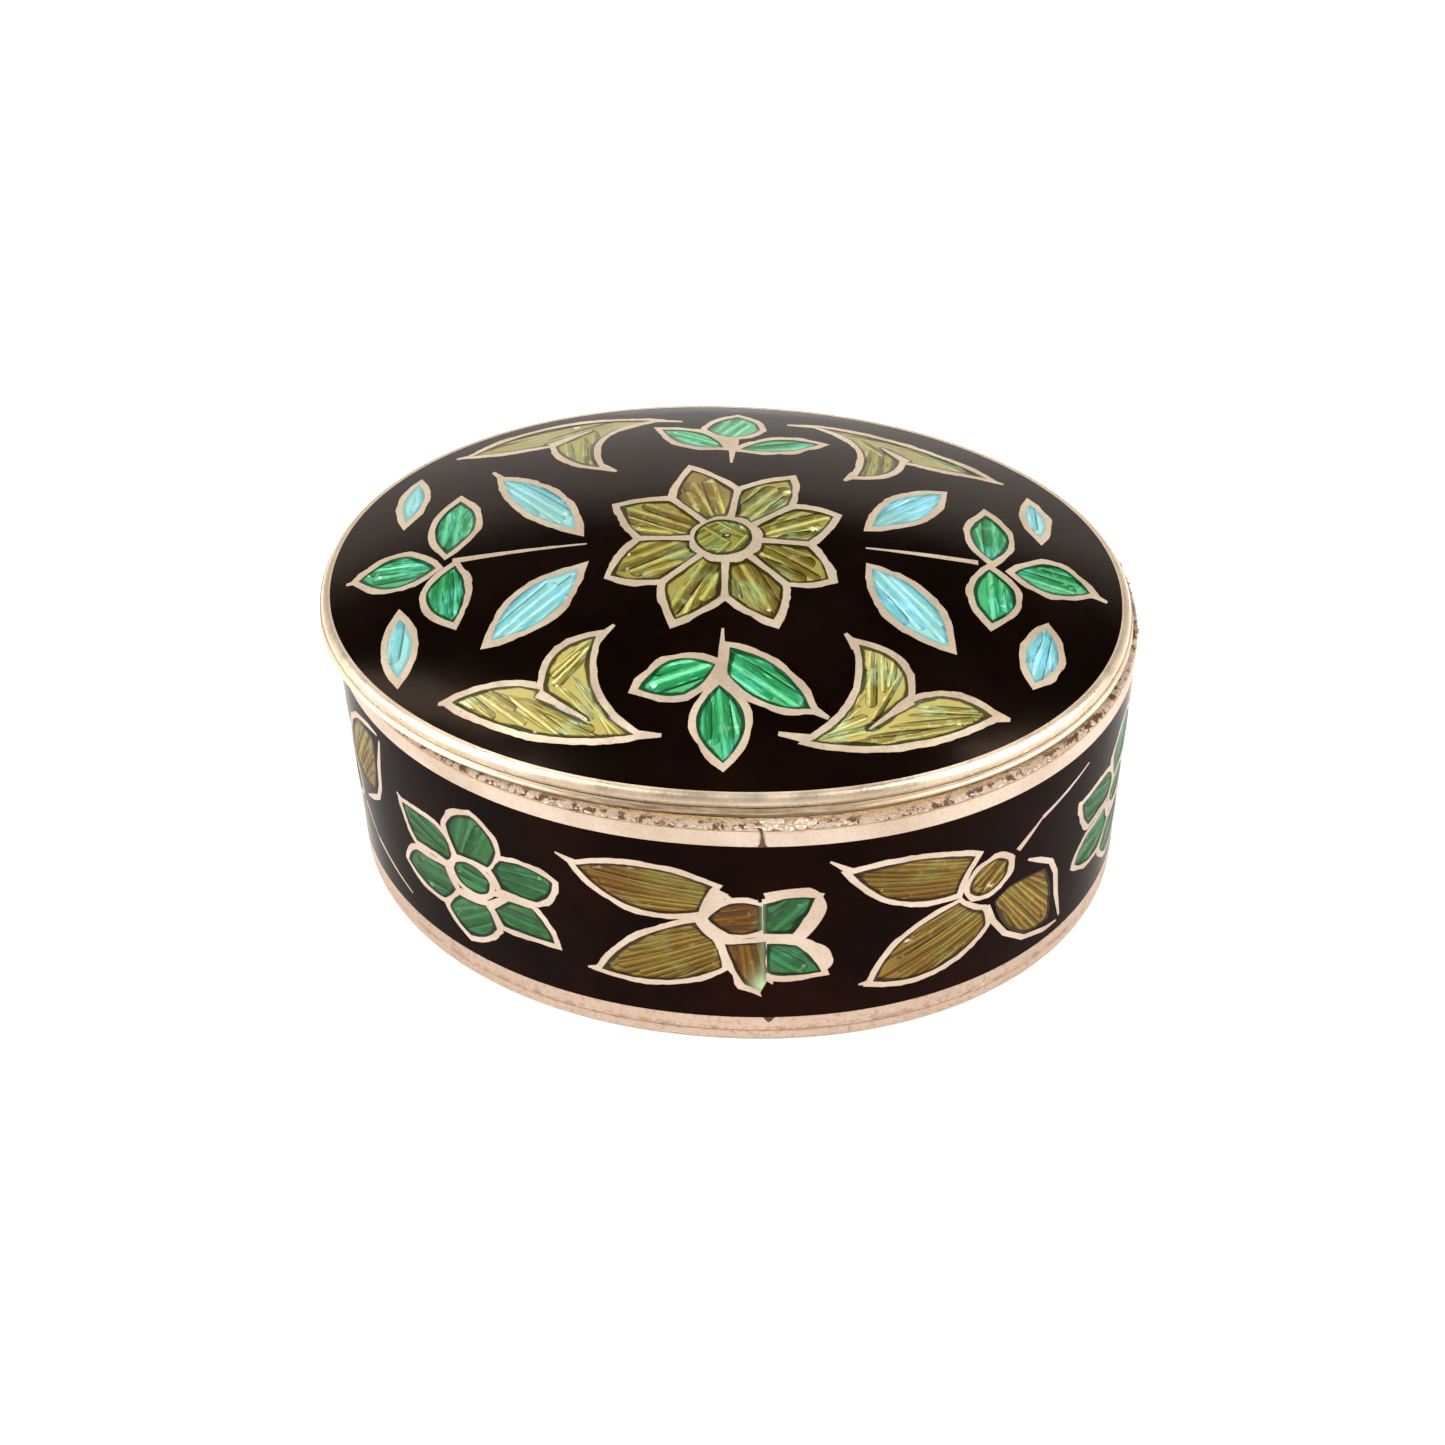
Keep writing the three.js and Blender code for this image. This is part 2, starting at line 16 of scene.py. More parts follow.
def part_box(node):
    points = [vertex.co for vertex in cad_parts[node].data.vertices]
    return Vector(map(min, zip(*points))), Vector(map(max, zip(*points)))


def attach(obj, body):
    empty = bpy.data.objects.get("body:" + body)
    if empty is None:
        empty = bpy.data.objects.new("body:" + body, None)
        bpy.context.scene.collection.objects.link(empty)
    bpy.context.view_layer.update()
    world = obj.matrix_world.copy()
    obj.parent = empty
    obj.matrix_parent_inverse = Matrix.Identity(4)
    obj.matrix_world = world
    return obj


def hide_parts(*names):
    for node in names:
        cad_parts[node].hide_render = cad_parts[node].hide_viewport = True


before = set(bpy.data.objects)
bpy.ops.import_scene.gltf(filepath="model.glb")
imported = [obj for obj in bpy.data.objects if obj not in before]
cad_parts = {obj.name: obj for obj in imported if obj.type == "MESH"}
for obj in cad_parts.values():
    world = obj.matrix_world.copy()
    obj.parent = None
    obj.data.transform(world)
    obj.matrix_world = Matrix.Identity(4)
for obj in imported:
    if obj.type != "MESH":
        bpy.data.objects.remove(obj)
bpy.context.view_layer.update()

MM = 0.001
rng = np.random.default_rng(7)


# ---------------------------------------------------------------- sizes from the frame


def corners_mm(node):
    low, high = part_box(node)
    return np.array(low) / MM, np.array(high) / MM


def half_size(node):
    """Half the length and half the width of a node, and its middle, in plan."""
    low, high = corners_mm(node)
    return (high[:2] - low[:2]) / 2, (high[:2] + low[:2]) / 2


OVAL_POWER = 2.07
GAP = 0.03  # between the glass and the silver under it

BASE_HALF, _ = half_size("wall_strip")
LINER_HALF, _ = half_size("wall_liner")
WALL_LOW = corners_mm("wall_strip")[0][2]
WALL_TOP = corners_mm("wall_strip")[1][2]
WALL_THICKNESS = 0.9
LINER_THICKNESS = 0.55
BOTTOM_TOP = corners_mm("bottom_plate")[1][2]
FIELD_BOTTOM = corners_mm("wall_ground_enamel")[0][2] - GAP
FIELD_TOP = corners_mm("wall_ground_enamel")[1][2] + GAP
CARVE_DEPTH = 0.35

LID_HALF, LID_CENTRE = half_size("lid_ground_enamel")
LID_HALF = LID_HALF + GAP
LID_TOP = corners_mm("lid_plate")[1][2]
DOME_RISE = 3.0
LID_FIELD_EDGE = LID_TOP - DOME_RISE
RIM_TOP = corners_mm("lid_plate")[0][2]
RIM_LOW = corners_mm("lid_rim_strip")[0][2]
BORDER_WIDTH = 0.6
RIM_INSIDE = np.array([21.5, 16.75])
LID_SHEET = 0.8
SKIRT_HALF, SKIRT_CENTRE = half_size("lid_skirt")
SKIRT_LOW = corners_mm("lid_skirt")[0][2]
SKIRT_THICKNESS = 0.6
LID_SEAM = 0.05  # gap between the lid's plate and the strips soldered under it

LINE = 0.37  # width of the silver left standing round a cell
FLOWER_LINE = 0.42  # the same in the lid's flower
DISC_LINE = 0.48
ENAMEL_SINK = 0.012  # how far the glass lies below the silver beside it


# ---------------------------------------------------------------- ovals, dome and wall


def oval_point(half, angle):
    """Points on an oval in plan, a little squarer than an ellipse."""
    reach = 2 / OVAL_POWER
    cosine, sine = np.cos(angle), np.sin(angle)
    return np.stack(
        [
            half[0] * np.sign(cosine) * np.abs(cosine) ** reach,
            half[1] * np.sign(sine) * np.abs(sine) ** reach,
        ],
        -1,
    )


def oval_share(half, points):
    """0 in the middle of an oval and 1 on it."""
    scaled = np.abs(points / half) ** OVAL_POWER
    return scaled.sum(-1) ** (1 / OVAL_POWER)


def oval_normal(half, points):
    """The outward direction of an oval in plan, at points on it."""
    slope = np.sign(points) * np.abs(points / half) ** (OVAL_POWER - 1) / half
    return slope / np.linalg.norm(slope, axis=-1, keepdims=True)


class OvalPath:
    """An oval by the distance along it, from the front to the right."""

    def __init__(self, half, centre=(0, 0)):
        self.half, self.centre = np.array(half), np.array(centre)
        angle = np.linspace(-math.pi / 2, 1.5 * math.pi, 8001)
        points = oval_point(self.half, angle)
        steps = np.linalg.norm(np.diff(points, axis=0), axis=1)
        self.angle = angle
        self.distance = np.concatenate([[0], np.cumsum(steps)])
        self.length = self.distance[-1]

    def at(self, s):
        """Points and outward normals in plan."""
        angle = np.interp(np.mod(s, self.length), self.distance, self.angle)
        points = oval_point(self.half, angle)
        return points + self.centre, oval_normal(self.half, points)


WALL = OvalPath(BASE_HALF)
LID_EDGE = OvalPath(LID_HALF, LID_CENTRE)
SEAM_AT = 52.2  # where the wrapped pattern starts and ends, in plain ground
JOINT_AT = 3.45  # where the ends of the wall strip meet


def on_wall(points, depth):
    """Flat points (s, z) on the wall, sunk by depth."""
    place, normal = WALL.at(points[:, 0])
    sunk = place - normal * np.reshape(depth, (-1, 1))
    return np.column_stack([sunk, points[:, 1]])


def wall_normal(points):
    _, normal = WALL.at(points[:, 0])
    return np.column_stack([normal, np.zeros(len(points))])


def dome_height(share):
    return LID_FIELD_EDGE + DOME_RISE * (1 - share**2)


def on_lid(points, depth):
    share = oval_share(LID_HALF, points - LID_CENTRE)
    return np.column_stack([points, dome_height(share) - depth])


def lid_normal(points):
    step = 0.01
    along = [np.array([step, 0]), np.array([0, step])]
    rises = [on_lid(points + d, 0)[:, 2] - on_lid(points - d, 0)[:, 2] for d in along]
    normal = np.column_stack([-rises[0] / (2 * step), -rises[1] / (2 * step), np.ones(len(points))])
    return normal / np.linalg.norm(normal, axis=1, keepdims=True)


# ---------------------------------------------------------------- outlines

OUTLINE_STEP = 0.3  # distance between the points of an outline
HAND_UNEVEN = 0.025  # how far the graver strays from an outline
RIBBON_TIP = 0.15
LINE_UNEVEN = 0.13  # how much the silver round a cell varies, as a share of its width

def outline(corners):
    """A closed outline from corners [x, y, bow], counter-clockwise.

    The edge that leaves a corner bows outwards by its bow, or inwards if that is negative.
    """
    points = []
    for i, (x, y, bow) in enumerate(corners):
        start = np.array([x, y], float)
        end = np.array(corners[(i + 1) % len(corners)][:2], float)
        span = np.linalg.norm(end - start)
        along = (end - start) / span
        control = (start + end) / 2 + 2 * bow * np.array([along[1], -along[0]])
        count = max(2, int(round(span / OUTLINE_STEP)))
        t = np.arange(count)[:, None] / count
        points.append((1 - t) ** 2 * start + 2 * t * (1 - t) * control + t**2 * end)
    return np.concatenate(points)


def circle(x, y, radius_x, radius_y=None, tilt=0.0, count=36):
    angle = np.arange(count) / count * 2 * math.pi
    radius_y = radius_x if radius_y is None else radius_y
    flat = np.column_stack([radius_x * np.cos(angle), radius_y * np.sin(angle)])
    turn = math.radians(tilt)
    spin = np.array([[math.cos(turn), math.sin(turn)], [-math.sin(turn), math.cos(turn)]])
    return flat @ spin + [x, y]


def grown(points, distance):
    """An outline with each edge moved outwards. A sharp corner moves at most twice as far."""
    into = points - np.roll(points, 1, 0)
    out = np.roll(points, -1, 0) - points
    into /= np.linalg.norm(into, axis=1, keepdims=True)
    out /= np.linalg.norm(out, axis=1, keepdims=True)
    middle = np.column_stack([into[:, 1] + out[:, 1], -into[:, 0] - out[:, 0]])
    middle /= np.maximum(np.linalg.norm(middle, axis=1, keepdims=True), 1e-9)
    cosine = middle[:, 0] * into[:, 1] - middle[:, 1] * into[:, 0]
    return points + middle * (np.reshape(distance, (-1, 1)) / np.maximum(cosine, 0.5)[:, None])


def wobble(count, waves):
    """A smooth random run round a closed outline, about -1 to 1."""
    turn = np.arange(count) / count * 2 * math.pi
    total = np.zeros(count)
    for k in range(1, waves + 1):
        total += rng.normal() * np.cos(k * turn + rng.uniform(0, 2 * math.pi)) / math.sqrt(waves)
    return total


def hand_cut(points):
    """Small unevenness, as a graver leaves it."""
    edge = 0.6 * wobble(len(points), 8) + 0.4 * rng.normal(size=len(points))
    return grown(points, HAND_UNEVEN * edge)


def silver_round(cell, line):
    """The outline of the silver that stands round a cell."""
    width = line * (1 + LINE_UNEVEN * wobble(len(cell), 7) + 0.05 * rng.normal(size=len(cell)))
    return grown(cell, width)


def stem(root, tip, root_width, tip_width=0.12):
    """A thin tapered line of silver."""
    root, tip = np.array(root, float), np.array(tip, float)
    along = (tip - root) / np.linalg.norm(tip - root)
    side = np.array([along[1], -along[0]])
    count = max(3, int(np.linalg.norm(tip - root) / 0.5))
    t = np.linspace(0, 1, count)[:, None]
    middle = root + (tip - root) * t
    width = root_width + (tip_width - root_width) * t
    width = width * (1 + 0.08 * rng.normal(size=(count, 1)))
    return np.concatenate([middle + side * width / 2, (middle - side * width / 2)[::-1]])


def ribbon(middle, width):
    """A line of silver along a row of points, thinner at its two ends."""
    middle = np.array(middle, float)
    along = np.gradient(middle, axis=0)
    along /= np.linalg.norm(along, axis=1, keepdims=True)
    side = np.column_stack([along[:, 1], -along[:, 0]])
    widths = np.full(len(middle), width)
    widths[[0, -1]] = RIBBON_TIP
    widths = (widths / 2)[:, None]
    return np.concatenate([middle + side * widths, (middle - side * widths)[::-1]])


# Half of a cut's outline, from where the graver goes in: share of its length, share of its width.
CUT_WIDENING = [(0.0, 0.2), (0.08, 0.55), (0.25, 0.85), (0.5, 1.0), (1.0, 1.0)]


class Cut:
    """One cut of the graver under the glass: narrow where it goes in, round where it ends."""

    def __init__(self, start, end, width):
        self.start, self.end, self.width = np.array(start, float), np.array(end, float), width
        self.along = (self.end - self.start) / np.linalg.norm(self.end - self.start)
        self.across = np.array([-self.along[1], self.along[0]])
        self.tone = rng.uniform(0.25, 1.0)

    def outline(self):
        half = self.width / 2
        shoulder = self.end - self.along * half
        body = shoulder - self.start
        middles = [(self.start + body * t, half * share) for t, share in CUT_WIDENING]
        right = [point - self.across * width for point, width in middles]
        left = [point + self.across * width for point, width in reversed(middles)]
        turns = np.radians([-60, -30, 0, 30, 60])
        rounded = [self.along * math.cos(a) + self.across * math.sin(a) for a in turns]
        tip = [shoulder + half * way for way in rounded]
        return np.array(right + tip + left)


def inside(points, polygon):
    """Which points have the counter-clockwise polygon round them."""
    x, y = points[:, 0, None], points[:, 1, None]
    x0, y0 = polygon[:, 0], polygon[:, 1]
    x1, y1 = np.roll(x0, -1), np.roll(y0, -1)
    left = (x1 - x0) * (y - y0) - (x - x0) * (y1 - y0) > 0
    up = (y0 <= y) & (y1 > y) & left
    down = (y0 > y) & (y1 <= y) & ~left
    return up.sum(1) - down.sum(1) > 0


# ---------------------------------------------------------------- patterns

PATTERN_TURN = math.radians(5.2)
PATTERN_CENTRE = np.array([0.15, 0.1])


def on_pattern(points):
    """From the lid's pattern to plan."""
    cosine, sine = math.cos(PATTERN_TURN), math.sin(PATTERN_TURN)
    turned = points @ np.array([[cosine, sine], [-sine, cosine]])
    return turned + PATTERN_CENTRE + LID_CENTRE


# Angle and reach of the silver tip of each petal of the lid's flower, and the reach of the
# notch of silver between it and the next one.
LID_FLOWER = [
    (22, 7.2, 5.5),
    (60, 7.8, 5.5),
    (107, 8.1, 5.6),
    (152, 7.65, 5.5),
    (205, 7.65, 5.6),
    (248, 7.65, 5.4),
    (293, 7.7, 5.7),
    (331, 7.25, 5.3),
]
FLOWER_WARMTH = [0.0, 0.1, 1.0, 0.9, 0.7, 0.2, 0.6, 0.4]  # how brown the glass of each petal is
FLOWER_INNER = 1.98
FLOWER_SIDE = 0.36  # distance of a petal's cell from the ray between two petals
LID_DISC = (-0.15, 0.15, 1.6)


def ray_point(angle, radius, side=0.0):
    turn = math.radians(angle)
    return [
        radius * math.cos(turn) - side * math.sin(turn),
        radius * math.sin(turn) + side * math.cos(turn),
    ]


def flower_petal(number):
    count = len(LID_FLOWER)
    angle, reach, notch = LID_FLOWER[number]
    before_angle, _, before_notch = LID_FLOWER[number - 1]
    after_angle = LID_FLOWER[(number + 1) % count][0]
    before = angle - ((angle - before_angle) % 360) / 2
    after = angle + ((after_angle - angle) % 360) / 2
    side = FLOWER_SIDE * 0.62
    return outline(
        [
            [*ray_point(before, FLOWER_INNER, side), 0.05],
            [*ray_point(before, before_notch - 0.75, side), 0.18],
            [*ray_point(angle, reach - 0.78), 0.18],
            [*ray_point(after, notch - 0.75, -side), 0.05],
            [*ray_point(after, FLOWER_INNER, -side), -0.17],
        ]
    )


LID_LEAVES = {
    "trefoil_left_upper": [[-15.6, 0.3, 1.3], [-15.4, 5.4, 1.05]],
    "trefoil_left_outer": [[-16.1, -0.8, 1.5], [-20.5, -0.8, 1.2]],
    "trefoil_left_lower": [[-15.0, -0.8, 1.6], [-14.6, -5.4, 0.6]],
    "trefoil_right_upper": [[14.7, -0.2, 1.15], [14.6, 4.2, 1.05]],
    "trefoil_right_outer": [[15.9, -0.9, 1.0], [20.1, -1.5, 1.6]],
    "trefoil_right_lower": [[14.5, -0.9, 0.95], [14.4, -5.3, 1.4]],
    "trefoil_back_middle": [
        [0.1, 11.4, 0.25],
        [1.7, 12.6, 0.35],
        [0.3, 14.8, 0.35],
        [-1.5, 12.6, 0.25],
    ],
    "trefoil_back_left": [[-0.4, 9.9, 0.9], [-4.1, 12.6, 1.0]],
    "trefoil_back_right": [[0.6, 9.7, 0.75], [5.2, 10.8, 0.95]],
    "trefoil_front_left": [[-0.3, -9.4, 1.1], [-4.3, -10.9, 1.2]],
    "trefoil_front_right": [[0.4, -8.3, 0.0], [0.3, -10.0, 0.75], [4.7, -12.1, 0.75]],
    "trefoil_front_middle": [[-0.1, -10.7, 1.3], [0.2, -15.3, 1.25]],
}
LID_DROPS = {
    "drop_back_left": [[-13.1, 7.2, 1.0], [-8.4, 1.3, 1.2]],
    "drop_back_right": [[8.1, 1.7, 1.1], [12.2, 5.9, 1.05]],
    "drop_front_left": [[-12.4, -7.0, 1.35], [-8.0, -2.2, 1.2]],
    "drop_front_right": [[8.0, -2.0, 1.35], [12.0, -7.4, 1.25]],
    "small_drop_back_left": [[-18.2, 8.2, 0.55], [-18.4, 4.0, 0.65]],
    "small_drop_back_right": [[17.3, 6.3, 0.5], [17.6, 2.8, 0.6]],
    "small_drop_front_left": [[-17.7, -4.5, 0.65], [-17.3, -8.8, 0.75]],
    "small_drop_front_right": [[17.4, -5.1, 0.8], [16.5, -9.1, 0.95]],
}
LID_SPRAYS = {
    "spray_back_left": [
        [-15.4, 10.9, 0.2],
        [-10.4, 11.2, 0.7],
        [-7.5, 7.7, -1.7],
        [-4.8, 14.2, 1.4],
    ],
    "spray_front_left": [
        [-14.2, -10.8, 1.1],
        [-4.4, -13.6, -1.2],
        [-6.7, -7.3, 1.0],
        [-9.3, -10.7, 0.6],
    ],
    "spray_back_right": [[15.0, 8.6, 0.65], [5.0, 13.6, -1.5], [7.3, 6.9, 0.75], [9.9, 9.5, 0.15]],
    "spray_front_right": [
        [7.2, -7.8, -1.2],
        [4.6, -14.0, 1.0],
        [14.2, -11.6, 0.8],
        [9.7, -11.4, 1.1],
    ],
}
# Stems, then the blunt tips that run out past the cells: root, tip, width at the root.
LID_STEMS = [
    ((-15.2, -0.4), (-7.7, -0.1), 0.42),
    ((13.9, -0.5), (7.7, -0.3), 0.42),
    ((0.15, 11.2), (0.1, 7.9), 0.7),
    ((0.0, -10.4), (0.0, -7.0), 0.7),
]
LID_TIPS = [
    ((-12.9, 7.0), (-13.8, 8.3), 0.5),
    ((-15.2, 10.9), (-16.3, 10.8), 0.5),
    ((-5.0, 14.2), (-3.0, 13.95), 0.55),
    ((-7.6, 7.9), (-6.5, 7.1), 0.75),
    ((-14.0, -10.8), (-14.9, -10.8), 0.5),
    ((-4.7, -13.6), (-3.0, -13.7), 0.6),
    ((-6.7, -7.6), (-5.8, -6.6), 0.6),
    ((14.8, 8.5), (15.9, 8.2), 0.5),
    ((5.2, 13.6), (3.3, 13.65), 0.55),
    ((7.3, 7.2), (6.6, 6.3), 0.7),
    ((13.7, -11.5), (15.05, -11.7), 1.1),
    ((4.8, -13.9), (3.0, -13.6), 0.6),
    ((7.1, -8.0), (6.5, -7.1), 0.6),
    ((20.0, -1.5), (21.0, -2.0), 0.6),
    ((-20.3, -0.8), (-21.2, -0.9), 0.5),
    ((4.6, -12.0), (5.6, -12.6), 0.6),
]
# A spike of silver that runs into each spray from its notch: root, tip, width at the root.
LID_SPIKES = {
    "spray_back_left": ((-10.7, 11.1), (-8.35, 13.0), 0.7),
    "spray_front_left": ((-9.6, -10.8), (-6.9, -12.6), 0.5),
    "spray_back_right": ((10.3, 9.4), (8.85, 11.05), 0.65),
    "spray_front_right": ((9.9, -11.15), (7.7, -13.1), 0.55),
}
# Cuts of the graver in the sprays and the disc: start, end, width.
LID_CUTS = {
    "spray_front_left": [
        ((-12.4, -11.7), (-13.9, -10.9), 0.6),
        ((-12.8, -10.3), (-10.1, -12.6), 0.62),
        ((-11.8, -10.5), (-8.6, -13.1), 0.6),
        ((-11.1, -10.7), (-7.9, -13.6), 0.62),
        ((-9.7, -11.4), (-6.5, -13.3), 0.6),
        ((-7.0, -7.6), (-9.1, -9.7), 0.62),
        ((-6.8, -7.9), (-8.8, -10.4), 0.7),
        ((-7.8, -9.9), (-6.4, -12.0), 0.45),
        ((-8.5, -10.4), (-6.6, -12.6), 0.45),
        ((-6.8, -9.8), (-6.3, -11.7), 0.45),
        ((-6.5, -11.7), (-5.4, -13.7), 0.5),
        ((-6.2, -12.3), (-4.8, -13.8), 0.4),
        ((-13.6, -11.2), (-12.0, -12.3), 0.5),
        ((-10.4, -11.0), (-7.3, -12.9), 0.5),
        ((-11.5, -12.4), (-9.5, -13.3), 0.4),
        ((-8.4, -12.5), (-6.0, -13.9), 0.42),
        ((-7.4, -8.2), (-8.9, -9.9), 0.35),
        ((-13.6, -10.3), (-11.8, -12.1), 0.55),
        ((-12.6, -10.1), (-10.7, -11.7), 0.5),
    ],
    "spray_front_right": [
        ((7.9, -8.1), (7.8, -11.8), 0.65),
        ((8.5, -8.3), (8.5, -10.8), 0.5),
        ((9.1, -8.6), (8.8, -10.5), 0.45),
        ((9.6, -9.2), (7.9, -12.6), 0.4),
        ((10.2, -11.6), (13.5, -11.5), 0.55),
        ((9.7, -12.1), (13.6, -11.8), 0.5),
        ((8.7, -12.9), (13.2, -12.0), 0.5),
        ((7.5, -13.6), (12.3, -12.7), 0.5),
        ((6.6, -14.0), (11.8, -13.1), 0.55),
        ((5.3, -13.9), (7.2, -11.7), 0.5),
        ((5.4, -14.1), (8.4, -14.1), 0.5),
        ((5.0, -13.95), (8.2, -12.9), 0.5),
        ((5.3, -13.5), (7.6, -12.3), 0.45),
        ((6.1, -12.9), (7.5, -10.6), 0.5),
        ((6.9, -11.7), (7.6, -9.4), 0.45),
        ((8.0, -13.9), (12.6, -12.4), 0.4),
    ],
    "spray_back_left": [
        ((-14.5, 11.4), (-10.5, 13.2), 0.6),
        ((-14.3, 12.1), (-9.2, 13.9), 0.6),
        ((-11.2, 11.8), (-6.9, 14.4), 0.5),
        ((-10.0, 14.6), (-5.6, 14.6), 0.5),
        ((-8.7, 12.0), (-8.4, 8.0), 0.6),
        ((-8.1, 12.9), (-7.9, 8.2), 0.7),
        ((-9.7, 11.5), (-9.3, 8.8), 0.6),
    ],
    "spray_back_right": [
        ((6.8, 12.6), (10.9, 11.3), 0.6),
        ((9.4, 12.5), (14.4, 8.6), 0.6),
        ((10.7, 11.1), (14.7, 8.2), 0.6),
        ((8.2, 10.6), (7.5, 7.0), 0.6),
        ((8.8, 10.4), (8.4, 7.2), 0.7),
        ((9.5, 9.7), (9.1, 7.5), 0.6),
        ((7.6, 12.0), (9.0, 9.9), 0.5),
    ],
    "flower_disc": [
        ((-1.9, 0.1), (-0.2, 1.5), 0.42),
        ((-1.8, -0.5), (0.6, 1.6), 0.42),
        ((-1.2, -1.0), (-0.2, 0.1), 0.42),
        ((-1.4, 1.3), (0.2, -0.2), 0.45),
        ((-0.6, 1.7), (1.2, 0.2), 0.45),
        ((0.2, 0.4), (1.5, -0.4), 0.42),
        ((1.6, 0.9), (0.3, -1.2), 0.45),
        ((1.0, -1.3), (-0.9, -0.9), 0.4),
        ((1.5, 0.2), (0.5, 1.4), 0.4),
        ((1.5, -0.5), (0.2, -1.5), 0.42),
        ((-1.5, -0.9), (0.1, -0.3), 0.42),
        ((0.3, -0.2), (-0.5, -1.4), 0.4),
    ],
}

# A flower of the wall round its middle, and the same for a bud.
WALL_FLOWER = {
    "petal_1": [[1.4, 1.4, -0.1], [2.0, 0.2, 0], [4.2, 0.2, 0.3], [5.3, 2.2, 0.4], [2.1, 2.5, 0]],
    "petal_2": [
        [-0.9, 1.3, -0.1],
        [1.2, 1.5, 0.1],
        [1.9, 3.0, 0.4],
        [0.4, 5.0, 0.3],
        [-1.5, 3.3, 0.1],
    ],
    "petal_3": [
        [-5.2, 2.5, 0.2],
        [-4.2, 0.2, -0.1],
        [-1.8, 0.3, 0.1],
        [-1.3, 1.1, 0.3],
        [-2.4, 2.7, 0.1],
    ],
    "petal_4": [
        [-5.3, -2.1, 0.4],
        [-2.4, -3.1, 0.1],
        [-1.3, -1.7, -0.1],
        [-2.0, -0.3, 0],
        [-4.3, -0.6, 0.2],
    ],
    "petal_5": [
        [-2.0, -3.5, 0.2],
        [-0.6, -5.0, 0.3],
        [1.4, -3.3, 0.1],
        [0.8, -1.7, -0.1],
        [-1.1, -2.0, 0.1],
    ],
    "petal_6": [[1.4, -1.7, 0], [1.9, -2.8, 0], [5.1, -2.7, 0.2], [3.9, -0.4, 0], [2.4, -0.5, 0]],
}
WALL_FLOWER_DISC = (1.25, 1.1)
FLOWER_Z = 8.3

WALL_BUD = {
    "upper_petal": [[-7.8, 3.0, 1.05], [-1.9, -0.3, -0.1], [-0.9, 2.1, 0.65]],
    "lower_petal": [[-6.5, -5.7, 1.2], [0.1, -3.8, 0.1], [-0.2, -2.4, -0.1], [-1.7, -1.1, 1.0]],
    "outer_petal": [
        [1.5, -1.5, 0],
        [0.6, -2.1, 0.45],
        [2.8, -6.1, 0.15],
        [4.9, -6.3, 0.3],
        [4.2, -1.8, 0.15],
    ],
}
# The silver of a bud's outer petal is open: two lines, with the ground between them and the glass.
BUD_OPEN_LINES = [
    [[2.7, -0.1], [3.6, -0.7], [4.6, -1.5], [5.1, -2.7], [5.35, -4.5], [5.9, -6.8]],
    [[5.7, -7.1], [4.7, -7.05], [2.9, -6.45], [1.5, -5.2], [0.6, -3.7], [0.2, -2.2]],
]
WALL_BUD_EYE = (0.1, 0.0, 1.35, 1.1, 45)
WALL_BUD_STEM = [((1.9, 1.1), (3.6, 2.7), 0.4), ((3.5, 2.6), (7.2, 4.1), 0.3)]
BUD_Z = 9.8

WALL_JOINT = {
    "upper_petal": [[-6.5, 12.4, 1.3], [0.1, 10.2, -0.1], [0.9, 12.2, 0.9]],
    "lower_petal": [[-5.4, 4.6, 0.75], [1.3, 5.9, 0.1], [0.8, 8.1, -0.1], [-0.1, 9.4, 0.8]],
    "small_petal": [
        [1.45, 7.8, 0.1],
        [2.45, 4.6, 0],
        [3.3, 4.1, 0],
        [3.63, 4.7, 0],
        [3.63, 8.1, 0],
    ],
    "flower_upper_petal": [
        [3.47, 8.7, 0],
        [5.05, 8.6, 0.1],
        [6.2, 11.3, 0.1],
        [4.6, 11.35, 0],
        [3.47, 10.95, 0],
    ],
    "flower_lower_petal": [
        [3.66, 5.6, 0.05],
        [4.3, 5.3, 0.05],
        [6.6, 5.45, 0.2],
        [5.2, 7.7, 0.1],
        [3.66, 7.9, 0],
    ],
    "eye": [
        [0.55, 9.75, 0.12],
        [1.7, 8.65, 0.2],
        [3.44, 9.0, 0],
        [3.44, 10.8, 0.15],
        [1.8, 11.0, 0.12],
    ],
}
WALL_JOINT_MIDDLE = (1.85, 9.9)
# Round loops of silver outside the two green petals at the joint, and where silver is missing.
JOINT_LOOPS = [
    [
        [5.0, 8.3, 0],
        [5.7, 8.2, 0.1],
        [6.75, 10.1, 0.1],
        [6.7, 11.1, 0.15],
        [5.9, 12.1, 0.1],
        [3.5, 11.8, 0.1],
    ],
    [
        [4.0, 4.9, 0.1],
        [5.6, 4.95, 0.1],
        [6.9, 5.6, 0.2],
        [7.15, 6.7, 0.2],
        [6.3, 7.8, 0.1],
        [5.4, 8.3, 0],
    ],
]
JOINT_BARE = [
    [[3.22, 11.1], [3.42, 11.1], [3.42, 12.4], [3.22, 12.4]],
    [[3.67, 4.9], [3.3, 3.95], [3.5, 3.2], [4.3, 3.3], [4.0, 4.6]],
]
# Silver between the motifs at the joint: root, tip, width at the root and at the tip.
JOINT_FILL = [
    ((0.75, 12.05), (1.9, 11.25), 0.5, 0.2),
    ((0.3, 10.2), (1.3, 11.9), 0.8, 0.9),
    ((0.1, 9.5), (1.6, 8.1), 0.75, 0.7),
    ((3.5, 8.3), (5.4, 8.1), 0.6, 0.5),
    ((0.6, 11.2), (1.4, 11.2), 0.5, 0.5),
    ((1.2, 8.3), (2.2, 8.2), 0.5, 0.5),
]
WALL_TIPS = [
    ((-6.3, 12.4), (-7.6, 12.95), 0.6),
    ((-5.3, 4.6), (-6.2, 4.5), 0.6),
    ((3.0, 4.9), (3.1, 4.0), 0.5),
]
BUD_TIPS = [((-7.6, 3.0), (-9.0, 4.1), 0.6), ((-6.4, -5.7), (-7.3, -5.75), 0.6)]
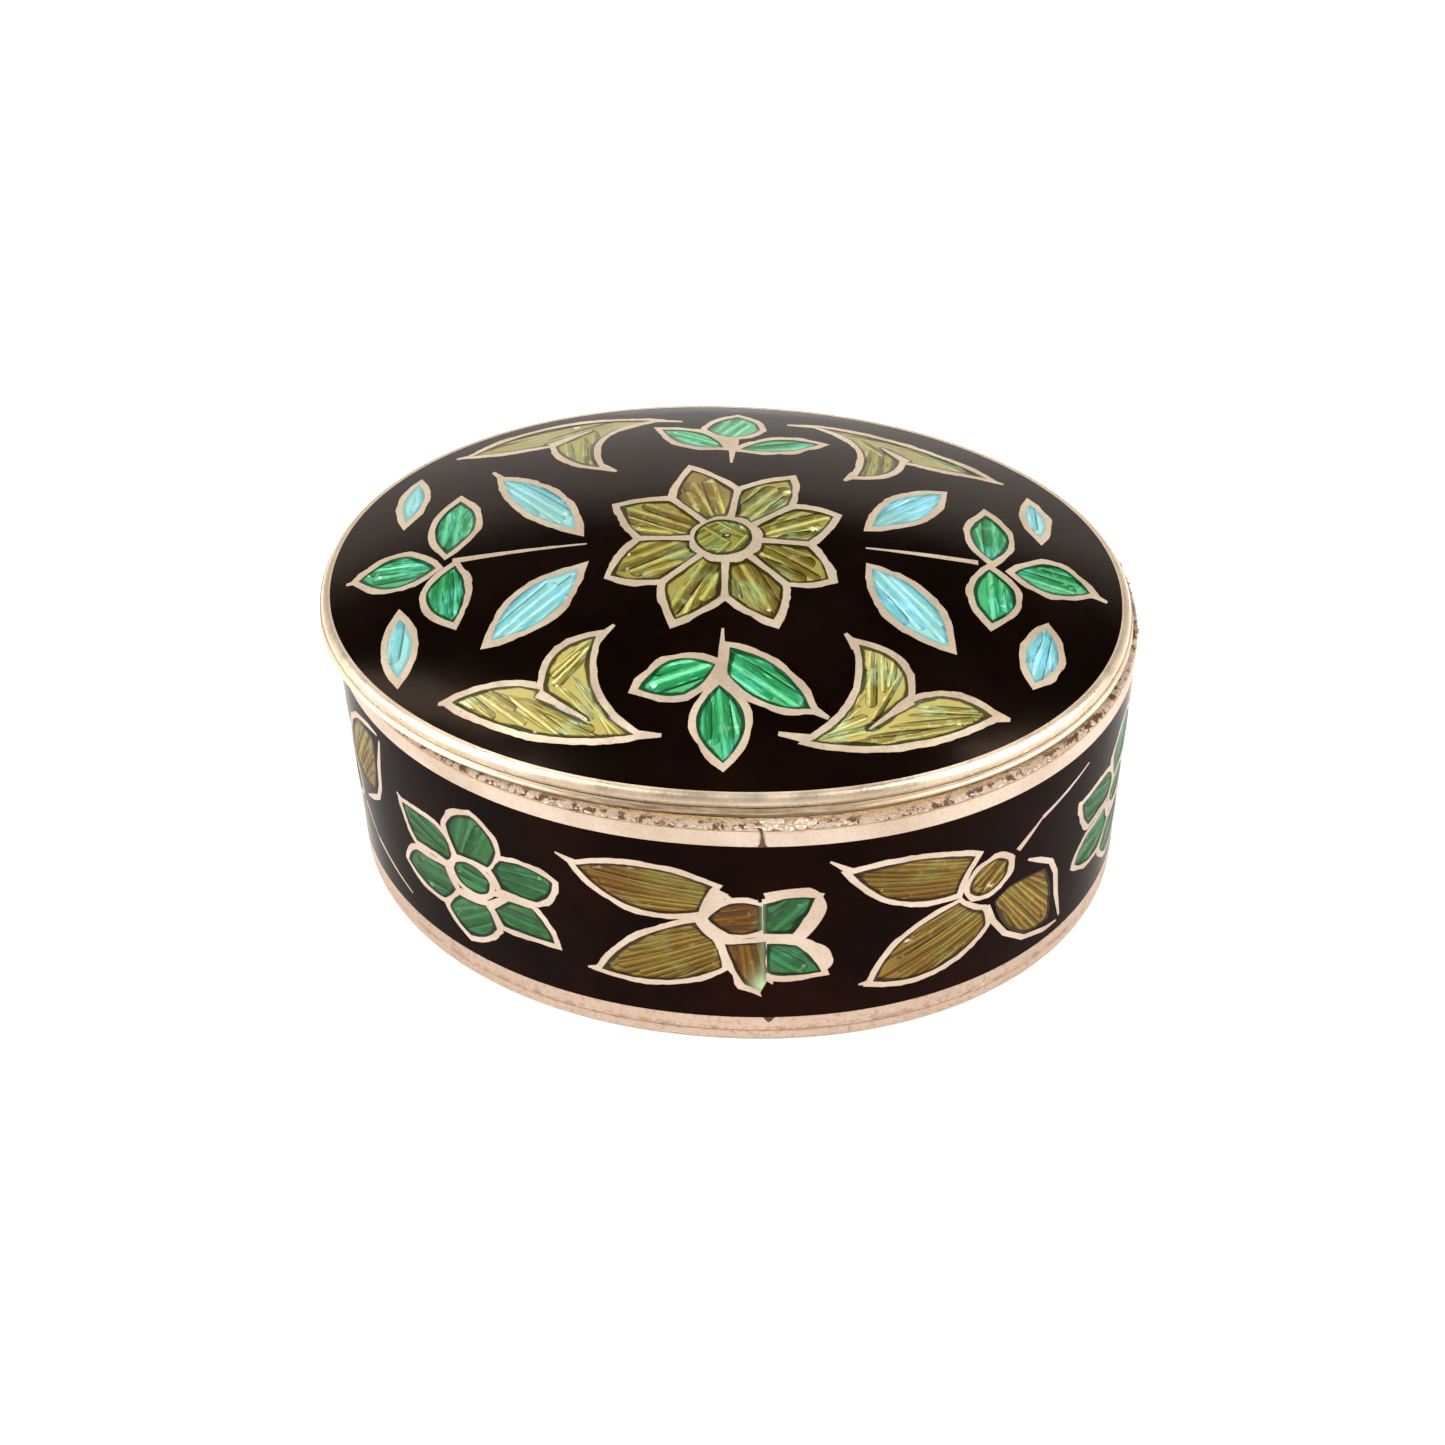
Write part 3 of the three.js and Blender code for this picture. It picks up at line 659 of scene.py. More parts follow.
FLOWER_TIPS = [((-5.1, 2.5), (-5.6, 2.95), 0.6), ((5.0, -2.7), (5.5, -3.0), 0.6)]
# Silver round the disc of a wall flower, in the same terms as JOINT_FILL.
FLOWER_FILL = [
    ((1.0, -1.65), (2.1, -0.55), 0.6, 0.5),
    ((-1.15, -1.4), (-1.7, -0.3), 0.35, 0.3),
    ((-0.9, -1.5), (1.2, -1.6), 0.4, 0.4),
    ((1.4, -0.4), (2.5, -0.15), 0.5, 0.35),
]

# Where the motifs stand round the wall. The named flower and bud are CAD nodes of their own.
NAMED_FLOWER = -13.2
NAMED_BUD = 15.95
OTHER_FLOWERS = [-70.05, -40.05, 28.2]
OTHER_BUDS = [(-55.05, False), (-25.9, True), (43.8, True)]  # distance, turned top to bottom


def placed(points, s, z, flipped=False):
    """A motif's points moved to its place on the wall. A flipped motif is turned top to bottom."""
    points = np.array(points, float)
    if not flipped:
        return points + [s, z]
    middle = (FIELD_BOTTOM + FIELD_TOP) / 2 - z
    mirrored = (points * [1, -1])[::-1]
    return mirrored + [s, z + 2 * middle]


# Width of the graver's cuts under each kind of glass.
CUT_WIDTH = {
    "olive": 0.78,
    "straw": 0.6,
    "disc": 0.5,
    "green": 0.72,
    "turquoise": 0.6,
    "wall_olive": 0.36,
    "wall_brown": 0.6,
    "wall_green": 0.8,
}
CUT_FAN = 0.25  # how far the cuts draw together towards the heart of a motif


class Cell:
    """One enamel cell: the outline of its glass and the graver's cuts under it."""

    def __init__(
        self, name, points, kind, heart=None, line=LINE, cuts=None, spike=None, warmth=None
    ):
        self.name, self.kind = name, kind
        self.warmth = rng.uniform(0, 1) if warmth is None else warmth
        self.points = hand_cut(points)
        self.silver = silver_round(self.points, line) if line else self.points
        self.spike = spike
        middle = self.points.mean(0)
        spread = np.linalg.svd(self.points - middle, full_matrices=False)[2][0]
        along = middle - heart if heart is not None else spread
        if heart is not None and abs(along @ spread) > 0.5 * np.linalg.norm(along):
            along = spread * np.sign(along @ spread)
        self.along = along / np.linalg.norm(along)
        self.cuts = cuts if cuts is not None else self.side_by_side()

    def side_by_side(self):
        """Cuts along the cell, some of them short, and sometimes a plain strip at one side."""
        middle = self.points.mean(0)
        across = np.array([-self.along[1], self.along[0]])
        beside = (self.points - middle) @ across
        count = max(2, round(np.ptp(beside) / CUT_WIDTH[self.kind]))
        step = np.ptp(beside) / count
        plain = rng.integers(0, 4)
        t = np.arange(-7, 7, 0.08)[:, None]
        cuts = []
        for k in rng.permutation(count):
            level = beside.min() + (k + 0.5 + rng.uniform(-0.15, 0.15)) * step
            row = middle + across * level + self.along * t
            row = row[inside(row, self.points)]
            lean = across * rng.uniform(-0.25, 0.25) * step
            short = rng.uniform(-0.12, 0.2)
            width = step * rng.uniform(1.1, 1.4)
            if len(row) < 6 or (plain == 0 and k == 0) or (plain == 1 and k == count - 1):
                continue
            end = row[-1] + (row[0] - row[-1]) * max(short, -0.05)
            fan = across * level * CUT_FAN
            cuts.append(Cut(row[0] - self.along * 0.8 - lean - fan, end + lean, width))
        return cuts


def motif_cells(prefix, table, s, z, kind, eye, flipped=False):
    """The cells of one flower or bud of the wall."""
    heart = placed([[0, 0]], s, z, flipped)[0]
    cells = []
    for name, corners in table.items():
        points = placed(outline(corners), s, z, flipped)
        line = 0 if name == "outer_petal" else LINE
        cells.append(Cell(f"{prefix}_{name}", points, kind, heart, line))
    points = placed(eye, s, z, flipped)
    cells.append(Cell(f"{prefix}_{'disc' if 'flower' in prefix else 'eye'}", points, kind))
    return cells


def cuts_of(name):
    """The cuts laid out one by one for a cell, or None where they are random."""
    if name not in LID_CUTS:
        return None
    return [Cut(*on_pattern(np.array([start, end])), width) for start, end, width in LID_CUTS[name]]


def lid_cells():
    heart = on_pattern(np.zeros(2))
    cells = []
    for i in range(len(LID_FLOWER)):
        petal, warmth = on_pattern(flower_petal(i)), FLOWER_WARMTH[i]
        cells.append(
            Cell(f"lid_flower_petal_{i + 1}", petal, "olive", heart, FLOWER_LINE, warmth=warmth)
        )
    disc = on_pattern(circle(*LID_DISC))
    dot = on_pattern(circle(0.05, 0.3, 0.13, 0.09, 20, 9))
    disc_cuts = cuts_of("flower_disc")
    cells.append(Cell("lid_flower_disc", disc, "disc", None, DISC_LINE, disc_cuts, dot))
    for table, kind in ((LID_LEAVES, "green"), (LID_DROPS, "turquoise"), (LID_SPRAYS, "olive")):
        for name, corners in table.items():
            spike = None
            if name in LID_SPIKES:
                root, tip, width = LID_SPIKES[name]
                spike = on_pattern(stem(root, tip, width, 0.1))
            points = on_pattern(outline(corners))
            look = "straw" if name.startswith("spray_front") else kind
            cells.append(Cell("lid_" + name, points, look, None, LINE, cuts_of(name), spike))
    return cells


def wall_cells():
    flower_eye = circle(0, 0, *WALL_FLOWER_DISC)
    bud_eye = circle(*WALL_BUD_EYE)
    flower, bud = (FLOWER_Z, "wall_green", flower_eye), (BUD_Z, "wall_olive", bud_eye)
    cells = motif_cells("wall_flower", WALL_FLOWER, NAMED_FLOWER, *flower)
    cells += motif_cells("wall_bud", WALL_BUD, NAMED_BUD, *bud)
    heart = np.array(WALL_JOINT_MIDDLE)
    for name, corners in WALL_JOINT.items():
        kind = "wall_green" if name.startswith("flower") else "wall_olive"
        kind = "wall_brown" if name in ("eye", "small_petal") else kind
        cells.append(Cell("wall_joint_" + name, outline(corners), kind, heart))
    for i, s in enumerate(OTHER_FLOWERS):
        cells += motif_cells(f"side_flower_{i + 1}", WALL_FLOWER, s, *flower)
    for i, (s, flipped) in enumerate(OTHER_BUDS):
        cells += motif_cells(f"side_bud_{i + 1}", WALL_BUD, s, *bud, flipped)
    return cells


def lid_silver_lines():
    lines = [on_pattern(stem(root, tip, width)) for root, tip, width in LID_STEMS]
    lines += [on_pattern(stem(root, tip, width, 0.22)) for root, tip, width in LID_TIPS]
    lines.append(on_pattern(circle(-0.4, 11.2, 0.7)))
    return lines


def wall_silver_lines():
    lines = [stem(root, tip, width) for root, tip, width in WALL_TIPS]
    lines += [outline(loop) for loop in JOINT_LOOPS]
    lines += [stem(*line) for line in JOINT_FILL]
    for s, flipped in [(NAMED_BUD, False), *OTHER_BUDS]:
        for root, tip, width in WALL_BUD_STEM + BUD_TIPS:
            lines.append(placed(stem(root, tip, width), s, BUD_Z, flipped))
        lines += [placed(ribbon(row, LINE), s, BUD_Z, flipped) for row in BUD_OPEN_LINES]
    for s in [NAMED_FLOWER, *OTHER_FLOWERS]:
        for root, tip, width in FLOWER_TIPS:
            lines.append(placed(stem(root, tip, width), s, FLOWER_Z))
        lines += [placed(stem(*line), s, FLOWER_Z) for line in FLOWER_FILL]
    return lines


# ---------------------------------------------------------------- meshes


def triangulated(loops, free=()):
    """A flat mesh with every loop's edges in it: points and counter-clockwise triangles."""
    points, edges = [], []
    for loop in loops:
        start = len(points)
        points.extend(loop)
        edges.extend((start + i, start + (i + 1) % len(loop)) for i in range(len(loop)))
    points.extend(free)
    flat = [Vector((float(p[0]), float(p[1]))) for p in points]
    verts, _, faces, *_ = delaunay_2d_cdt(flat, edges, [], 0, 1e-5, False)
    verts = np.array([tuple(v) for v in verts])
    faces = np.array([f for f in faces if len(f) == 3])
    a, b, c = verts[faces[:, 0]], verts[faces[:, 1]], verts[faces[:, 2]]
    ab, ac = b - a, c - a
    area = ab[:, 0] * ac[:, 1] - ab[:, 1] * ac[:, 0]
    faces[area < 0] = faces[area < 0][:, ::-1]
    return verts, faces[np.abs(area) > 1e-9]


def boundary_edges(triangles):
    """Edges of only one triangle, in that triangle's order."""
    edges = {}
    for triangle in triangles.tolist():
        for i in range(3):
            edges[(triangle[i], triangle[(i + 1) % 3])] = True
    return [(a, b) for a, b in edges if (b, a) not in edges]


class MeshMaker:
    """Gathers points, faces and the normals of the faces' corners, then makes one object."""

    def __init__(self):
        self.points, self.faces, self.normals = [], [], []

    def add_points(self, points):
        start = sum(len(p) for p in self.points)
        self.points.append(np.asarray(points, float))
        return start

    def add_faces(self, faces, normals=None):
        """Faces as lists of point numbers. Normals by corner, or None for flat ones."""
        self.faces.extend(faces)
        self.normals.extend(normals if normals is not None else [None] * len(faces))

    def made(self, name, layers=None):
        points = np.concatenate(self.points)
        used = np.unique(np.concatenate([np.array(f) for f in self.faces]))
        number = np.zeros(len(points), int)
        number[used] = np.arange(len(used))
        mesh = bpy.data.meshes.new(name)
        faces = [[int(number[i]) for i in face] for face in self.faces]
        mesh.from_pydata((points[used] * MM).tolist(), [], faces)
        mesh.update()
        for key, values in (layers or {}).items():
            attribute = mesh.attributes.new(key, "FLOAT", "POINT")
            attribute.data.foreach_set("value", np.asarray(values, np.float32)[used])
        corner_normals = []
        for polygon, given in zip(mesh.polygons, self.normals):
            corner_normals.extend(given or [tuple(polygon.normal)] * polygon.loop_total)
        mesh.polygons.foreach_set("use_smooth", [True] * len(mesh.polygons))
        mesh.normals_split_custom_set(corner_normals)
        obj = bpy.data.objects.new(name, mesh)
        bpy.context.scene.collection.objects.link(obj)
        return obj


def corners_of(faces, normals):
    """The normal of each corner of each face, from normals by point."""
    listed = [tuple(n) for n in normals]
    return [[listed[i] for i in face] for face in faces]


def averaged_normals(points, triangles):
    """The normal at each point, from the triangles round it."""
    a, b, c = points[triangles[:, 0]], points[triangles[:, 1]], points[triangles[:, 2]]
    across = np.cross(b - a, c - a)
    total = np.zeros_like(points)
    for k in range(3):
        np.add.at(total, triangles[:, k], across)
    return total / np.maximum(np.linalg.norm(total, axis=1, keepdims=True), 1e-12)


def slab(name, flat, triangles, top, bottom, normals, layers=None):
    """A closed body between two surfaces over a flat mesh."""
    used = np.unique(triangles)
    number = -np.ones(len(flat), int)
    number[used] = np.arange(len(used))
    triangles = number[triangles]
    top, bottom, normals = top[used], bottom[used], normals[used]
    maker = MeshMaker()
    maker.add_points(top)
    low = maker.add_points(bottom)
    faces = triangles.tolist()
    maker.add_faces(faces, corners_of(faces, normals))
    under = [[low + i for i in reversed(face)] for face in faces]
    maker.add_faces(under, corners_of([f[::-1] for f in faces], -normals))
    sides = [[b, a, low + a, low + b] for a, b in boundary_edges(triangles)]
    maker.add_faces(sides)
    doubled = {key: np.tile(np.asarray(values)[used], 2) for key, values in (layers or {}).items()}
    return maker.made(name, doubled)


def ring_body(name, rings, outward, caps=()):
    """A body from rings of points, in order round its section, from the outside's foot upwards.

    Shading is smooth along the rings and crisp across them. Without caps the last ring joins
    the first. Caps are the middles of the first and the last ring.
    """
    maker = MeshMaker()
    count = len(rings[0])
    starts = [maker.add_points(ring) for ring in rings]
    numbers = list(range(len(rings)))
    pairs = list(zip(numbers, numbers[1:])) + ([] if caps else [(numbers[-1], numbers[0])])
    following = [(i, (i + 1) % count) for i in range(count)]
    for low, high in pairs:
        step = rings[high] - rings[low]
        run = (step[:, :2] * outward).sum(1)
        normals = np.column_stack([outward * step[:, 2, None], -run])
        normals /= np.maximum(np.linalg.norm(normals, axis=1, keepdims=True), 1e-12)
        a, b = starts[low], starts[high]
        faces = [[a + i, a + j, b + j, b + i] for i, j in following]
        listed = [tuple(n) for n in normals]
        maker.add_faces(faces, [[listed[i], listed[j], listed[j], listed[i]] for i, j in following])
    if caps:
        foot, head = maker.add_points([caps[0]]), maker.add_points([caps[1]])
        maker.add_faces([[starts[0] + j, starts[0] + i, foot] for i, j in following])
        maker.add_faces([[starts[-1] + i, starts[-1] + j, head] for i, j in following])
    return maker.made(name)


def edge_sides(triangles):
    """Which triangle has each directed edge."""
    sides = {}
    for number, (a, b, c) in enumerate(triangles.tolist()):
        sides[(a, b)] = sides[(b, c)] = sides[(c, a)] = number
    return sides


def carve(maker, flat, triangles, standing, surface, normals, depth):
    """Adds the carved face of a silver body: standing triangles, sunk ones, and walls between.

    Returns the number of the first point of the face and its outer edges, each as seen from
    inside the face.
    """
    top = maker.add_points(surface(flat, 0.0))
    floor = maker.add_points(surface(flat, depth))
    for kept, start in ((standing, top), (~standing, floor)):
        local = triangles[kept]
        maker.add_faces((local + start).tolist(), corners_of(local.tolist(), normals))
    sides = edge_sides(triangles)
    walls, outer = [], []
    for (a, b), number in sides.items():
        other = sides.get((b, a))
        if other is None:
            outer.append((a, b))
            if not standing[number]:
                walls.append([top + b, floor + b, floor + a, top + a])
        elif standing[number] and not standing[other]:
            walls.append([top + a, floor + a, floor + b, top + b])
    maker.add_faces(walls)
    return top, outer


def add_rings(maker, edges, face_start, rings, ring_normals, first_normals):
    """Carries a face on past its outer edges through rings of points.

    rings holds, ring by ring, a point for each point of the face. Returns the start of the last.
    """
    starts = [face_start] + [maker.add_points(ring) for ring in rings]
    normals = [first_normals] + ring_normals
    for k in range(len(rings)):
        here, there = starts[k], starts[k + 1]
        faces = [[here + b, here + a, there + a, there + b] for a, b in edges]
        n, m = normals[k], normals[k + 1]
        listed = [[tuple(n[b]), tuple(n[a]), tuple(m[a]), tuple(m[b])] for a, b in edges]
        maker.add_faces(faces, listed)
    return starts[-1]


def profile_normals(profile, outward):
    """Normals of rings that follow a profile of (out, z), by point of the face."""
    profile = np.array(profile, float)
    steps = np.gradient(profile, axis=0)
    across = np.column_stack([-steps[:, 1], steps[:, 0]])
    across /= np.linalg.norm(across, axis=1, keepdims=True)
    up = np.zeros((len(outward), 1))
    return [np.column_stack([outward * out, up + z]) for out, z in across]


# ---------------------------------------------------------------- pieces of the lid

PLAIN, BORDER, LEDGE, ARRIS = 0, 1, 2, 3  # values of the border attribute of the silver


def inner_grid(low, high, spacing):
    """Points in staggered rows over a box in plan."""
    xs = np.arange(low[0] + spacing / 2, high[0], spacing)
    ys = np.arange(low[1] + spacing / 2, high[1], spacing * 0.87)
    staggered = (xs, xs + spacing / 2)
    rows = [np.column_stack([staggered[i % 2], np.full(len(xs), y)]) for i, y in enumerate(ys)]
    return np.concatenate(rows)


def flat_pattern(field_loop, cells, lines, free, bare=()):
    """The flat mesh of a pattern: points, triangles, and which are silver, glass of a cell."""
    spikes = [cell.spike for cell in cells if cell.spike is not None]
    bare = [np.array(loop, float) for loop in bare]
    outlines = [cell.silver for cell in cells] + lines
    loops = [field_loop, *outlines, *[cell.points for cell in cells], *spikes, *bare]
    flat, triangles = triangulated(loops, free)
    middles = flat[triangles].mean(1)
    kept = inside(middles, field_loop)
    triangles, middles = triangles[kept], middles[kept]

    def in_any(shapes):
        found = np.zeros(len(middles), bool)
        for shape in shapes:
            found |= inside_near(middles, shape)
        return found

    spiked = in_any(spikes)
    glass = in_any([cell.points for cell in cells]) & ~spiked
    silver = (in_any(outlines) & ~in_any(bare) | spiked) & ~glass
    return flat, triangles, silver, glass


def inside_near(points, polygon):
    """inside(), asked only of the points in the polygon's box."""
    low, high = polygon.min(0), polygon.max(0)
    near = ((points >= low) & (points <= high)).all(1)
    found = np.zeros(len(points), bool)
    found[near] = inside(points[near], polygon)
    return found


def distance_to(points, loop):
    """Distance of each point to a closed outline."""
    a, b = loop, np.roll(loop, -1, 0)
    ab = b - a
    ap = points[:, None] - a[None]
    t = np.clip((ap * ab).sum(2) / np.maximum((ab * ab).sum(1), 1e-12), 0, 1)
    return np.linalg.norm(ap - t[..., None] * ab, axis=2).min(1)


def cut_layers(cell, flat, triangles):
    """For each corner of each triangle: which cut it is in (its tone), and where in that cut."""
    middles = flat[triangles].mean(1)
    places = flat[triangles]
    tone = np.zeros((len(triangles), 3))
    side, end = tone.copy(), tone.copy()
    for cut in cell.cuts:
        held = inside_near(middles, cut.outline())
        tone[held] = cut.tone
        side[held] = (places[held] - cut.start) @ cut.across / (cut.width / 2)
        end[held] = (cut.end - places[held]) @ cut.along
    return {"cut_tone": tone, "cut_side": side, "cut_end": end}


CELL_GRID = 0.4  # distance between the points inside a cell
CELL_ROWS = (-0.09, -0.2)  # rows of points inside a cell's outline
CELL_GRID_EDGE = -0.28
HOLLOW = 0.035  # how far the middle of a cell sinks below its edge
HOLLOW_REACH = 0.22


def cell_piece(cell, surface):
    """The glass of one cell, a little sunk in its middle, with the graver's cuts laid out on it."""
    outlines = [cell.points] if cell.spike is None else [cell.points, cell.spike]
    loops = outlines + [grown(cell.points, row) for row in CELL_ROWS]
    loops += [cut.outline() for cut in cell.cuts]
    grid = inner_grid(cell.points.min(0), cell.points.max(0), CELL_GRID)
    grid = grid[inside(grid, grown(cell.points, CELL_GRID_EDGE))]
    flat, triangles = triangulated(loops, grid)
    middles = flat[triangles].mean(1)
    kept = inside(middles, cell.points)
    if cell.spike is not None:
        kept &= ~inside(middles, cell.spike)
    triangles = triangles[kept]
    edge = np.minimum.reduce([distance_to(flat, loop) for loop in outlines])
    sunk = ENAMEL_SINK + HOLLOW * (1 - np.exp(-edge / HOLLOW_REACH))
    top = surface(flat, 0.0)
    under = surface(flat, CARVE_DEPTH - GAP)
    down = (under - top) / np.linalg.norm(under - top, axis=1, keepdims=True)
    top = top + down * sunk[:, None]
    normals = averaged_normals(top, triangles)
    layers = {"edge": edge, "warmth": np.full(len(flat), cell.warmth)}
    if cell.name.startswith("wall_joint"):
        layers["milk"] = joint_milk(flat)
    piece = slab(cell.name + "_glass", flat, triangles, top, under, normals, layers)
    for key, values in cut_layers(cell, flat, triangles).items():
        corners = np.zeros(len(piece.data.loops), np.float32)
        corners[: values.size] = values.ravel()
        piece.data.attributes.new(key, "FLOAT", "CORNER").data.foreach_set("value", corners)
    return piece


def joint_milk(flat):
    """Where the green and the olive glass have run together at the joint, 0 to 1."""
    s, z = flat[:, 0], flat[:, 1]
    across = np.exp(-(((s - JOINT_AT) / 0.16) ** 2))
    foot = np.exp(-(((s - 3.3) / 0.5) ** 2) - ((z - 4.5) / 0.9) ** 2)
    return np.clip(0.3 * across + 0.8 * foot, 0, 1)


# The rolled border of the lid, as (out, z) from the edge of its field.
BORDER_PROFILE = [(0.18, -0.03), (0.33, -0.1), (0.45, -0.22), (0.54, -0.38), (BORDER_WIDTH, -0.58)]
DOME_RINGS = 14  # rings of points under the dome


def lid_pieces():
    """The lid's silver, its ground and the glass of its cells, by name, and the cells."""
    cells = lid_cells()
    count = int(LID_EDGE.length / 0.5)
    rim_points, _ = LID_EDGE.at(np.arange(count) / count * LID_EDGE.length)
    grid = inner_grid(-LID_HALF + LID_CENTRE, LID_HALF + LID_CENTRE, 1.0)
    grid = grid[oval_share(LID_HALF, grid - LID_CENTRE) < 0.97]
    flat, triangles, silver, glass = flat_pattern(rim_points, cells, lid_silver_lines(), grid)
    normals = lid_normal(flat)

    ground = triangles[~silver & ~glass]
    over, under = on_lid(flat, ENAMEL_SINK), on_lid(flat, CARVE_DEPTH - GAP)
    pieces = {"lid_ground": slab("lid_ground", flat, ground, over, under, normals)}

    maker = MeshMaker()
    start, edges = carve(maker, flat, triangles, silver, on_lid, normals, CARVE_DEPTH)
    outward = oval_normal(LID_HALF, flat - LID_CENTRE)
    profile = [(out, LID_FIELD_EDGE + z) for out, z in BORDER_PROFILE] + [(BORDER_WIDTH, RIM_TOP)]
    rings = [at_height(flat + outward * out, z) for out, z in profile]
    ring_normals = profile_normals([(0, LID_FIELD_EDGE), *profile], outward)[1:]
    flat_from = math.sqrt(1 - (RIM_TOP + LID_SHEET - LID_FIELD_EDGE) / DOME_RISE)
    shares = np.linspace(flat_from, 0.0, DOME_RINGS)[:-1]
    down = np.tile([0.0, 0.0, -1.0], (len(flat), 1))
    for share in [1.0, *shares]:
        place = LID_CENTRE + (flat - LID_CENTRE) * share
        height = RIM_TOP if share > flat_from - 1e-9 else dome_height(share) - LID_SHEET
        rings.append(at_height(place, height))
        ring_normals.append(down if share >= flat_from else -lid_normal(place))
    last = add_rings(maker, edges, start, rings, ring_normals, normals)
    centre = maker.add_points([[*LID_CENTRE, dome_height(0) - LID_SHEET]])
    fan = [[last + b, last + a, centre] for a, b in edges]
    maker.add_faces(fan, [[(0, 0, -1)] * 3] * len(fan))
    border = np.full(sum(len(p) for p in maker.points), BORDER, float)
    border[: 2 * len(flat)] = PLAIN
    pieces["lid_silver"] = maker.made("lid_silver", {"border": border})
    for cell in cells:
        pieces[cell.name] = cell_piece(cell, on_lid)
    return pieces, cells


def at_height(points, z):
    """Points in plan, all at one height."""
    return np.column_stack([points, np.full(len(points), z)])


RING_ANGLES = np.arange(360) / 360 * 2 * math.pi


def strip_piece(name, half, inner_half, centre, profile):
    """An oval strip: its outer face follows the profile of (out, z), its inner one is plain."""
    outer, inner = oval_point(half, RING_ANGLES), oval_point(inner_half, RING_ANGLES)
    outward = oval_normal(half, outer)
    rings = [at_height(outer + outward * out + centre, z) for out, z in profile]
    rings += [at_height(inner + centre, z) for z in (profile[-1][1], profile[0][1])]
    return ring_body(name, rings, outward)


def rim_strip():
    low, high = RIM_LOW, RIM_TOP - LID_SEAM
    profile = [
        (0.0, low),
        (0.06, low + 0.03),
        (0.09, low + 0.09),
        (0.09, low + 0.15),
        (0.06, low + 0.22),
        (0.0, low + 0.27),
        (-0.01, low + 0.45),
        (0.0, high),
    ]
    return strip_piece("lid_rim", LID_HALF + BORDER_WIDTH, RIM_INSIDE, LID_CENTRE, profile)


def skirt():
    low, high = SKIRT_LOW, RIM_TOP - LID_SEAM
    profile = [(-0.15, low), (-0.03, low + 0.06), (0.0, low + 0.2), (0.0, high)]
    inner_half = SKIRT_HALF - SKIRT_THICKNESS
    return strip_piece("lid_plug_skirt", SKIRT_HALF, inner_half, SKIRT_CENTRE, profile)


# ---------------------------------------------------------------- pieces of the box


def joint_dent(points):
    """Depth of the groove where the ends of the strip meet, in the top border only."""
    across = np.exp(-(((points[:, 0] - JOINT_AT) / 0.13) ** 2))
    return 0.22 * across * np.clip((points[:, 1] - FIELD_TOP) / 0.3, 0, 1)


def strip_surface(points, depth):
    return on_wall(points, depth + joint_dent(points))


def wall_loop():
    """The edge of the flat wall field, counter-clockwise, and its left and right end."""
    left, right = SEAM_AT - WALL.length, SEAM_AT
    even = np.linspace(left, right, int(WALL.length / 0.45) + 1)
    near_joint = np.arange(JOINT_AT - 0.5, JOINT_AT + 0.5, 0.06)
    even = even[np.abs(even - JOINT_AT) > 0.55]
    along = np.sort(np.concatenate([even, near_joint]))
    up = np.linspace(FIELD_BOTTOM, FIELD_TOP, 15)[1:-1]
    loop = np.concatenate(
        [
            np.column_stack([along, np.full(len(along), FIELD_BOTTOM)]),
            np.column_stack([np.full(len(up), right), up]),
            np.column_stack([along[::-1], np.full(len(along), FIELD_TOP)]),
            np.column_stack([np.full(len(up), left), up[::-1]]),
        ]
    )
    return loop, left, right


def welded(flat, triangles, left, right):
    """Joins the right end of a flat mesh to its left end."""
    number = np.arange(len(flat))
    on_left = {round(float(flat[i, 1]), 3): i for i in number if abs(flat[i, 0] - left) < 1e-3}
    for i in number:
        if abs(flat[i, 0] - right) < 1e-3:
            number[i] = on_left[round(float(flat[i, 1]), 3)]
    return number[triangles]


